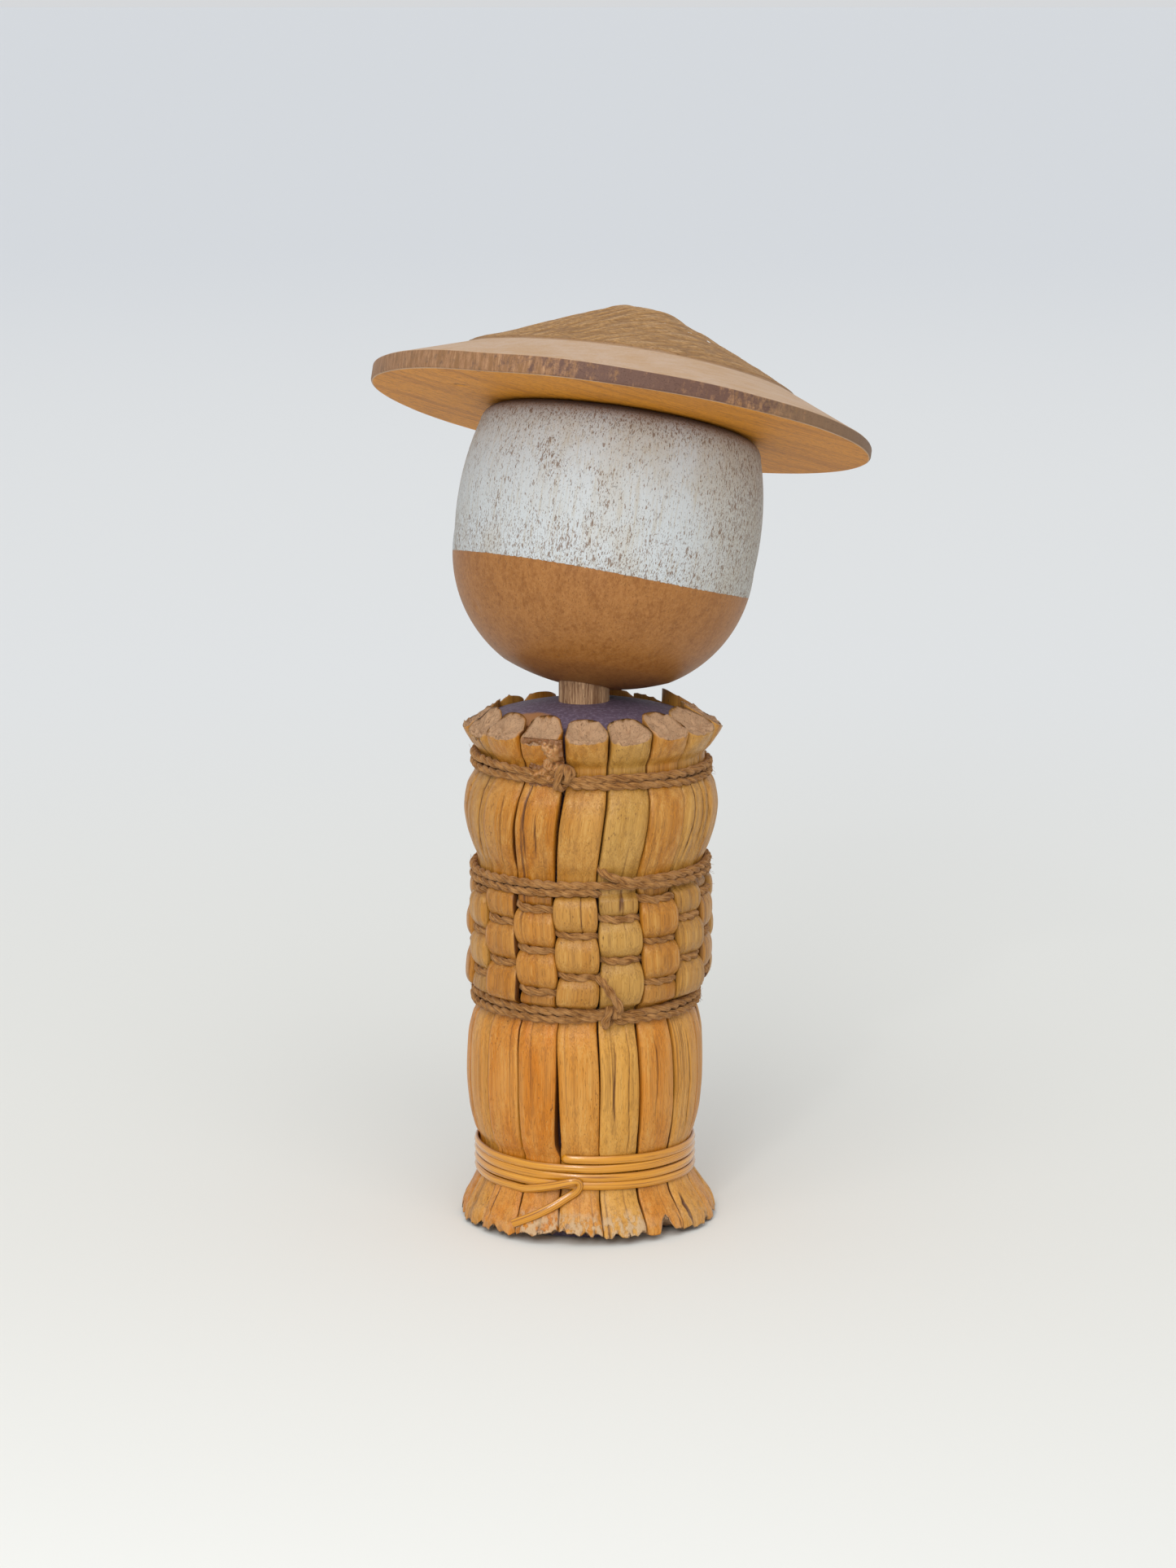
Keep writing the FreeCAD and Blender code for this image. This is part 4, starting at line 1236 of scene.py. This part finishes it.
def paint_head():
    material, tree, shader = new_material("painted_head_wood", Specular_IOR_Level=0.4)
    place = attribute(tree, "own_place", "Vector")
    above = attribute(tree, "above_line")
    parts = put(tree, "ShaderNodeSeparateXYZ", {0: place})
    across, height = parts.outputs[0], parts.outputs[2]
    grain = use_group(tree, GRAIN, {"Place": place, "Width": 0.55, "Length": 12.0})
    pores = use_group(tree, GRAIN, {"Place": place, "Width": 0.36, "Length": 2.6})
    grime = use_group(tree, GRIME, {"Place": stretched(tree, place, (1, 1, 0.5)),
                                    "Patch Size": 9.0, "Speck Size": 0.62})
    bare = mixed(tree, fade(tree, grain["Streaks"], 0.0, 0.7, 0.45, 0.0), HEAD_BARE, HEAD_BARE_DARK)
    streaked = noise(tree, stretched(tree, place, (0.7, 0.7, 0.05)), 1.0, 3.0, 0.6)
    bare = mixed(tree, fade(tree, streaked, 0.5, 0.66, 0.0, 0.55), bare, HEAD_BARE_DARK)
    freckled = noise(tree, stretched(tree, place, (3.4, 3.4, 2.0)), 1.0, 3.0, 0.7)
    bare = mixed(tree, fade(tree, freckled, 0.5, 0.68, 0.0, 0.5), bare, HEAD_BARE_DARK)
    mottled = noise(tree, place, 1.3, 4.0, 0.75)
    bare = layered(
        tree, bare,
        (fade(tree, mottled, 0.4, 0.7, 0.0, 0.45), HEAD_BARE_PALE),
        # Painted shade: the bare wood darker towards the chin.
        (fade(tree, height, 2.0, 11.0, 0.2, 0.0), HEAD_BARE_DARK),
        (times(tree, pores["Pores"], 0.35), HEAD_BARE_DARK))

    warm = fade(tree, noise(tree, stretched(tree, place, (0.11, 0.11, 0.06)), 1.0, 3.0), 0.42, 0.66)
    paint = mixed(tree, times(tree, warm, 0.3), PAINT_WHITE, PAINT_WARM)
    brushed = noise(tree, stretched(tree, place, (2.4, 2.4, 0.12)), 1.0, 2.0, 0.5)
    paint = layered(
        tree, paint,
        (fade(tree, brushed, 0.48, 0.72, 0.0, 0.4), PAINT_WARM),
        (fade(tree, across, 12.0, 28.0, 0.0, 0.35), PAINT_WARM))
    worn = fade(tree, noise(tree, stretched(tree, place, (0.2, 0.2, 0.12)), 1.0, 2.0), 0.42, 0.75)
    worn = maths(tree, "MAXIMUM", worn, fade(tree, above, 1.0, 15.0, 0.9, 0.25))
    worn = maths(tree, "MAXIMUM", worn, fade(tree, across, 8.0, 27.0))
    worn = maths(tree, "MAXIMUM", worn, fade(tree, height, 43.0, 52.0))
    for fineness, reach in ((1.7, 0.075), (2.9, 0.10), (5.2, 0.11)):
        longer = stretched(tree, place, (fineness, fineness, fineness * 0.33))
        gaps = noise(tree, longer, 1.0, 2.0, 0.6)
        gaps = maths(tree, "ADD", gaps, times(tree, worn, reach))
        paint = mixed(tree, fade(tree, gaps, 0.665, 0.725, 0.0, 0.75), paint, PAINT_PORES)
    paint = layered(
        tree, paint,
        (times(tree, pores["Pores"], 0.4), PAINT_PORES),
        (times(tree, grime["Specks"], 0.55), PAINT_PORES),
        # Partly stain and partly painted shade towards the crown, then a painted shadow line where
        # the hat sits.
        (fade(tree, height, 49.0, 53.5, 0.0, 0.6), CROWN_STAIN_AND_SHADE),
        (fade(tree, height, 52.0, 53.6, 0.0, 0.8), CROWN_SHADOW))
    ragged = maths(tree, "ADD", above, times(tree, noise(tree, place, 1.4, 3.0), 0.5))
    edge = fade(tree, ragged, 0.18, 0.32)
    colour = mixed(tree, edge, bare, paint)
    # Painted shade inside the neck's bore and the hat's socket.
    colour = mixed(tree, attribute(tree, "hole_shade"), colour, HEAD_BARE_DARK)
    dull = maths(tree, "ADD", times(tree, edge, 0.16), 0.46)
    relief = maths(tree, "ADD", times(tree, grain["Relief"], 0.35),
                   times(tree, edge, 0.3))
    relief = maths(tree, "SUBTRACT", relief, times(tree, pores["Pores"], 0.5))
    feed(tree, shader, Base_Color=colour, Roughness=dull, Normal=bump(tree, relief, 0.16))
    return material


turned_head = make_head(paint_head())
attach(turned_head, "head")
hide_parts("head")

# ---------------------------------------------------------------------------------------------
# The hat: a wide flat-bottomed cone turned from one board, with a socket for the peg. A smooth
# band runs round a middle that was carved rough along the grain. The rim still has some stain.

HAT_ABOVE = 54.1
HAT_SOCKET_DEEP = 11.0
HAT_RADIUS = 50.8
HAT_EDGE = 3.4
EDGE_ROUND = 0.5
CONE_RADIUS = 34.2
BAND_HEIGHT = 10.15
CONE_STEP = 0.45
SHOULDER = (8.0, 22.6)
APEX = 24.0
RIM_SPREAD = 1.2
RIM_LIFT = 0.9
CARVE_DEPTH = 0.1
FACET_DEPTH = 0.09
WARP = 0.05
# Small raised chips in the carved middle, whitened by a painted highlight, and a nick in the
# underside, by place from the middle.
CHIPS = ((5.5, -14.0), (10.5, -13.0), (14.5, -13.0))
CHIP_HIGH = 0.15
NICK = (-33.0, -19.0)
NICK_DEEP = 0.35
# Angle and spread of the stained and of the greyed parts of the rim, and how strong each is.
STAINED = ((275, 30, 1.0), (100, 40, 0.45))
GREYED = ((330, 28, 1.0), (20, 30, 1.0), (380, 30, 1.0))
CHIP_GLINT_WHITE = (0.72, 0.68, 0.62)
GRAIN_HEADING = 38.0
HAT_COLUMNS = 480
HAT_BAND = (0.55, 0.385, 0.265)
HAT_CONE = (0.46, 0.25, 0.085)
HAT_CONE_DARK = (0.20, 0.095, 0.03)
HAT_CONE_PALE = (0.56, 0.34, 0.16)
HAT_UNDER = (0.66, 0.26, 0.014)
HAT_UNDER_DARK = (0.30, 0.10, 0.012)
HAT_RIM = (0.34, 0.175, 0.085)
RIM_STAIN = (0.12, 0.058, 0.042)
RIM_GREY = (0.20, 0.115, 0.06)


def make_hat(material):
    angle = np.linspace(0, 2 * math.pi, HAT_COLUMNS + 1)[:-1]
    ball = (SHOULDER[0] ** 2 + (APEX - SHOULDER[1]) ** 2) / (2 * (APEX - SHOULDER[1]))
    under = [(SOCKET, HAT_SOCKET_DEEP), (SOCKET, 4), (SOCKET, 0.1)]
    under += [(radius, 0) for radius in np.linspace(SOCKET + 0.2, HAT_RADIUS - EDGE_ROUND, 44)]
    corner = np.linspace(0, math.pi / 2, 5)[1:]
    low_edge = [(HAT_RADIUS - EDGE_ROUND * (1 - math.sin(turn)), EDGE_ROUND * (1 - math.cos(turn)))
                for turn in corner]
    side = [(HAT_RADIUS, level) for level in np.linspace(EDGE_ROUND, HAT_EDGE - EDGE_ROUND, 7)[1:]]
    high_edge = [(HAT_RADIUS - EDGE_ROUND * (1 - math.cos(turn)),
                  HAT_EDGE - EDGE_ROUND * (1 - math.sin(turn))) for turn in corner]
    band = [(HAT_RADIUS - EDGE_ROUND + (CONE_RADIUS - HAT_RADIUS + EDGE_ROUND) * share,
             HAT_EDGE + (BAND_HEIGHT - HAT_EDGE) * share) for share in np.linspace(0, 1, 40)[1:]]
    foot_radius, foot_height = CONE_RADIUS - 0.25, BAND_HEIGHT + CONE_STEP
    cone = [(foot_radius + (SHOULDER[0] - foot_radius) * share,
             foot_height + (SHOULDER[1] - foot_height) * share) for share in np.linspace(0, 1, 70)]
    top = [(radius, APEX - ball + math.sqrt(ball ** 2 - radius ** 2))
           for radius in np.linspace(SHOULDER[0], 0.3, 22)[1:]]
    outline = np.array(under + low_edge + side + high_edge + band + cone + top)
    radius = outline[:, :1] + 0 * angle
    height = outline[:, 1:] + 0 * angle
    is_cone = np.zeros(len(outline))
    is_cone[-len(cone) - len(top):] = 1
    is_under = (np.arange(len(outline)) < len(under)) * 1.0
    is_side = np.zeros(len(outline))
    first_side = len(under) + 1
    is_side[first_side:first_side + len(low_edge) + len(side)] = 1

    # The rim was cut thinner at the right and back, and the carved middle follows the grain.
    thinner = (-0.6 - 0.7 * np.cos(angle) - 0.8 * np.sin(angle)) * (radius / HAT_RADIUS) ** 2
    height = height + thinner * np.clip((height - 0.4) / 2.6, 0, 1) * (1 - is_under[:, None])
    heading = math.radians(GRAIN_HEADING)
    x, y = radius * np.cos(angle), radius * np.sin(angle)
    along = x * math.cos(heading) + y * math.sin(heading)
    across = -x * math.sin(heading) + y * math.cos(heading)
    cuts = rough(611, across * 1.9, along * 0.3, 16)
    cuts = cuts + 0.8 * rough(612, across * 5.2, along * 0.9, 16)
    facets = rough(613, across * 0.55, along * 0.3, 7)
    carved = (is_cone[:, None] * np.clip((radius - 1.0) / 4, 0, 1)
              * np.clip((CONE_RADIUS + 0.6 - radius) / 1.5, 0.25, 1))
    height = height + carved * (CARVE_DEPTH * np.clip(cuts, -1.5, 1.7) + FACET_DEPTH * facets)
    height = height + WARP * rough(620, x * 0.12, y * 0.12) * (1 - is_under[:, None])
    height = np.where(is_under[:, None] > 0, height, np.maximum(height, 0.0))
    from_x, from_y = x - NICK[0], y - NICK[1]
    nick = np.exp(-(from_x * 0.5 + from_y * 0.9) ** 2 / 0.5
                  - (from_x * 0.9 - from_y * 0.5) ** 2 / 4)
    height = height + is_under[:, None] * (radius > SOCKET + 1) * NICK_DEEP * nick

    chip_glint = sum(np.exp(-((x - chip_x) ** 2 + (y - chip_y) ** 2) / 0.2) for chip_x, chip_y in CHIPS)
    chip_glint = chip_glint * is_cone[:, None]

    # The board has dried unevenly: the left side of the rim reaches further out and stands higher.
    left = (0.5 - 0.5 * np.cos(angle)) * (radius / HAT_RADIUS) ** 2
    height = height + RIM_LIFT * np.clip((-x - 27) / 24, 0, 1) + CHIP_HIGH * chip_glint
    x, y = x * (1 + RIM_SPREAD / HAT_RADIUS * left), y * (1 + RIM_SPREAD / HAT_RADIUS * left)

    own = np.stack([x, y, height], -1)
    poles = [leaning(np.array([0, 0, level]), HAT_ABOVE) for level in (HAT_SOCKET_DEEP, APEX)]
    stain, grey = (sum(strong * hump(np.degrees(angle), place, spread)
                       for place, spread, strong in parts) for parts in (STAINED, GREYED))
    flat = np.ones_like(radius)
    return closed_shell(
        "turned_hat", leaning(own, HAT_ABOVE), poles, material,
        numbers={"carved": is_cone[:, None] * flat, "underside": is_under[:, None] * flat,
                 "rim": is_side[:, None] * flat, "stain": stain * flat, "grey": grey * flat,
                 "cuts": carved * cuts, "from_middle": radius, "nick": is_under[:, None] * nick,
                 "chip_glint": chip_glint},
        vectors={"own_place": np.stack([across, height * 2, along], -1)})


def paint_hat():
    material, tree, shader = new_material("hat_wood", Roughness=0.6, Specular_IOR_Level=0.35)
    place = attribute(tree, "own_place", "Vector")
    carved, underside, rim = (attribute(tree, name) for name in ("carved", "underside", "rim"))
    stain, grey, cuts = (attribute(tree, name) for name in ("stain", "grey", "cuts"))
    from_middle = attribute(tree, "from_middle")
    fine = use_group(tree, GRAIN, {"Place": place, "Width": 0.3, "Length": 7.0})
    coarse = use_group(tree, GRAIN, {"Place": place, "Width": 0.62, "Length": 10.0})
    grime = use_group(tree, GRIME, {"Place": place, "Patch Size": 14.0, "Speck Size": 0.7})
    band = mixed(tree, fade(tree, fine["Streaks"], 0.0, 0.9, 0.35, 0.0), HAT_BAND, HAT_CONE)
    band = layered(
        tree, band,
        (times(tree, grime["Smudges"], 0.3), HAT_CONE),
        (times(tree, coarse["Pores"], 0.35), HAT_CONE))
    cone = mixed(tree, fade(tree, cuts, -1.6, 0.6, 0.55, 0.0), HAT_CONE, HAT_CONE_DARK)
    cone = layered(
        tree, cone,
        (fade(tree, cuts, 0.5, 1.9, 0.0, 0.6), HAT_CONE_PALE),
        (times(tree, coarse["Pores"], 0.4), HAT_CONE_DARK),
        (fade(tree, from_middle, 12.0, 4.0, 0.0, 0.4), HAT_CONE_PALE))
    rubbed = noise(tree, stretched(tree, place, (1.6, 1.6, 0.7)), 1.0, 4.0, 0.75)
    cone = layered(
        tree, cone,
        (fade(tree, rubbed, 0.42, 0.62, 0.6, 0.0), HAT_CONE_DARK),
        # Painted highlight: the raised chips painted near white.
        (fade(tree, attribute(tree, "chip_glint"), 0.3, 0.6), CHIP_GLINT_WHITE))
    colour = mixed(tree, carved, band, cone)
    ledge = times(tree, fade(tree, from_middle, CONE_RADIUS - 0.7, CONE_RADIUS - 0.1),
                  fade(tree, from_middle, CONE_RADIUS + 0.6, CONE_RADIUS + 0.05))
    colour = mixed(tree, times(tree, ledge, 0.55), colour, HAT_CONE_DARK)
    mottle = noise(tree, stretched(tree, place, (0.7, 0.2, 0.7)), 1.0, 4.0, 0.75)
    upright = noise(tree, stretched(tree, place, (1.5, 0.12, 1.5)), 1.0, 4.0, 0.75)
    side = mixed(tree, fade(tree, upright, 0.40, 0.58, 0.65, 0.0), HAT_RIM, HAT_CONE_DARK)
    side = mixed(tree, fade(tree, upright, 0.55, 0.72, 0.0, 0.5), side, HAT_CONE_PALE)
    greyed = fade(tree, maths(tree, "ADD", times(tree, grey, 0.45), mottle), 0.48, 0.76)
    side = mixed(tree, times(tree, greyed, 0.85), side, RIM_GREY)
    stained = maths(tree, "ADD", times(tree, stain, 0.4), mottle)
    side = mixed(tree, fade(tree, stained, 0.60, 0.86, 0.0, 0.92), side, RIM_STAIN)
    colour = mixed(tree, rim, colour, side)
    streaks = fade(tree, coarse["Streaks"], 0.0, 0.8, 0.5, 0.0)
    under = mixed(tree, streaks, HAT_UNDER, HAT_UNDER_DARK)
    under = mixed(tree, times(tree, coarse["Pores"], 0.7), under, HAT_UNDER_DARK)
    grainy = noise(tree, stretched(tree, place, (1.9, 1.9, 0.7)), 1.0, 4.0, 0.75)
    under = layered(
        tree, under,
        (fade(tree, grainy, 0.48, 0.66, 0.0, 0.7), HAT_UNDER_DARK),
        (fade(tree, attribute(tree, "nick"), 0.25, 0.8), HAT_CONE_DARK))
    colour = mixed(tree, underside, colour, under)
    relief = maths(tree, "ADD", times(tree, fine["Relief"], 0.5),
                   times(tree, coarse["Relief"], carved))
    feed(tree, shader, Base_Color=colour, Normal=bump(tree, relief, 0.22))
    return material


turned_hat = make_hat(paint_hat())
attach(turned_hat, "hat")
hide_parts("hat")

# ---------------------------------------------------------------------------------------------
# The setting: a pale surface that runs on into a pale, slightly cooler distance, with soft daylight
# from the upper left and a bright surround. The camera looks slightly down from the front.

FLOOR_NEAR = (0.77, 0.77, 0.735)
FLOOR_FAR = (0.785, 0.80, 0.805)
FLOOR_DISTANT = (0.71, 0.735, 0.765)
# From here on in metres.
FLOOR_RADIUS = 300.0
FLOOR_SIDES = 96
FLOOR_BELOW = 0.0001
CAMERA_PLACE = (0.0, -0.814, 0.246)
CAMERA_TILT = 79.15
CAMERA_LENS = 93.46
SENSOR = 36.0


def paint_floor():
    material, tree, shader = new_material("pale_surface", Roughness=0.85, Specular_IOR_Level=0.2)
    away = distance(tree, put(tree, "ShaderNodeTexCoord").outputs["Object"])
    colour = mixed(tree, fade(tree, away, 0.12, 0.75), FLOOR_NEAR, FLOOR_FAR)
    colour = mixed(tree, fade(tree, away, 0.9, 3.5), colour, FLOOR_DISTANT)
    feed(tree, shader, Base_Color=colour)
    return material


floor_mesh = bpy.data.meshes.new("floor")
floor_turn = np.linspace(0, 2 * math.pi, FLOOR_SIDES + 1)[:-1]
floor_edge = polar(FLOOR_RADIUS, floor_turn, -FLOOR_BELOW)
floor_mesh.from_pydata(floor_edge.tolist(), [], [list(range(FLOOR_SIDES))])
floor_mesh.materials.append(paint_floor())
floor = add_object("floor", floor_mesh)


def add_light(name, kind, place, aim, strength, colour, size):
    """A soft light at a place, turned towards a point on the object."""
    data = bpy.data.lights.new(name, kind)
    data.energy = strength
    data.color = colour
    if kind == "SUN":
        data.angle = math.radians(size)
    else:
        data.shape = "DISK"
        data.size = size
    light = add_object(name, data)
    light.location = place
    towards = Vector(aim) - Vector(place)
    light.rotation_euler = towards.to_track_quat("-Z", "Y").to_euler()


add_light("window", "SUN", (-0.04, -0.7, 0.95), (0, 0, 0.08), 1.05, (1.0, 0.99, 0.97), 60)
add_light("card", "AREA", (-0.12, -0.6, 0.34), (0, 0, 0.08), 1.0, (1.0, 1.0, 1.0), 0.2)
add_light("glint", "AREA", (-0.1, -0.42, 0.4), (0, 0, 0.03), 0.14, (1.0, 1.0, 1.0), 0.03)
world = bpy.data.worlds.new("surround")
world.use_nodes = True
surround = world.node_tree.nodes["Background"].inputs
surround["Color"].default_value = (0.965, 0.98, 1.0, 1.0)
surround["Strength"].default_value = 0.7
bpy.context.scene.world = world
bpy.context.scene.view_settings.view_transform = "Standard"

camera_data = bpy.data.cameras.new("camera")
camera_data.lens = CAMERA_LENS
camera_data.sensor_width = SENSOR
camera_data.clip_start = 0.01
camera = add_object("camera", camera_data)
camera.location = CAMERA_PLACE
camera.rotation_euler = (math.radians(CAMERA_TILT), 0, 0)
bpy.context.scene.camera = camera

bpy.context.view_layer.update()
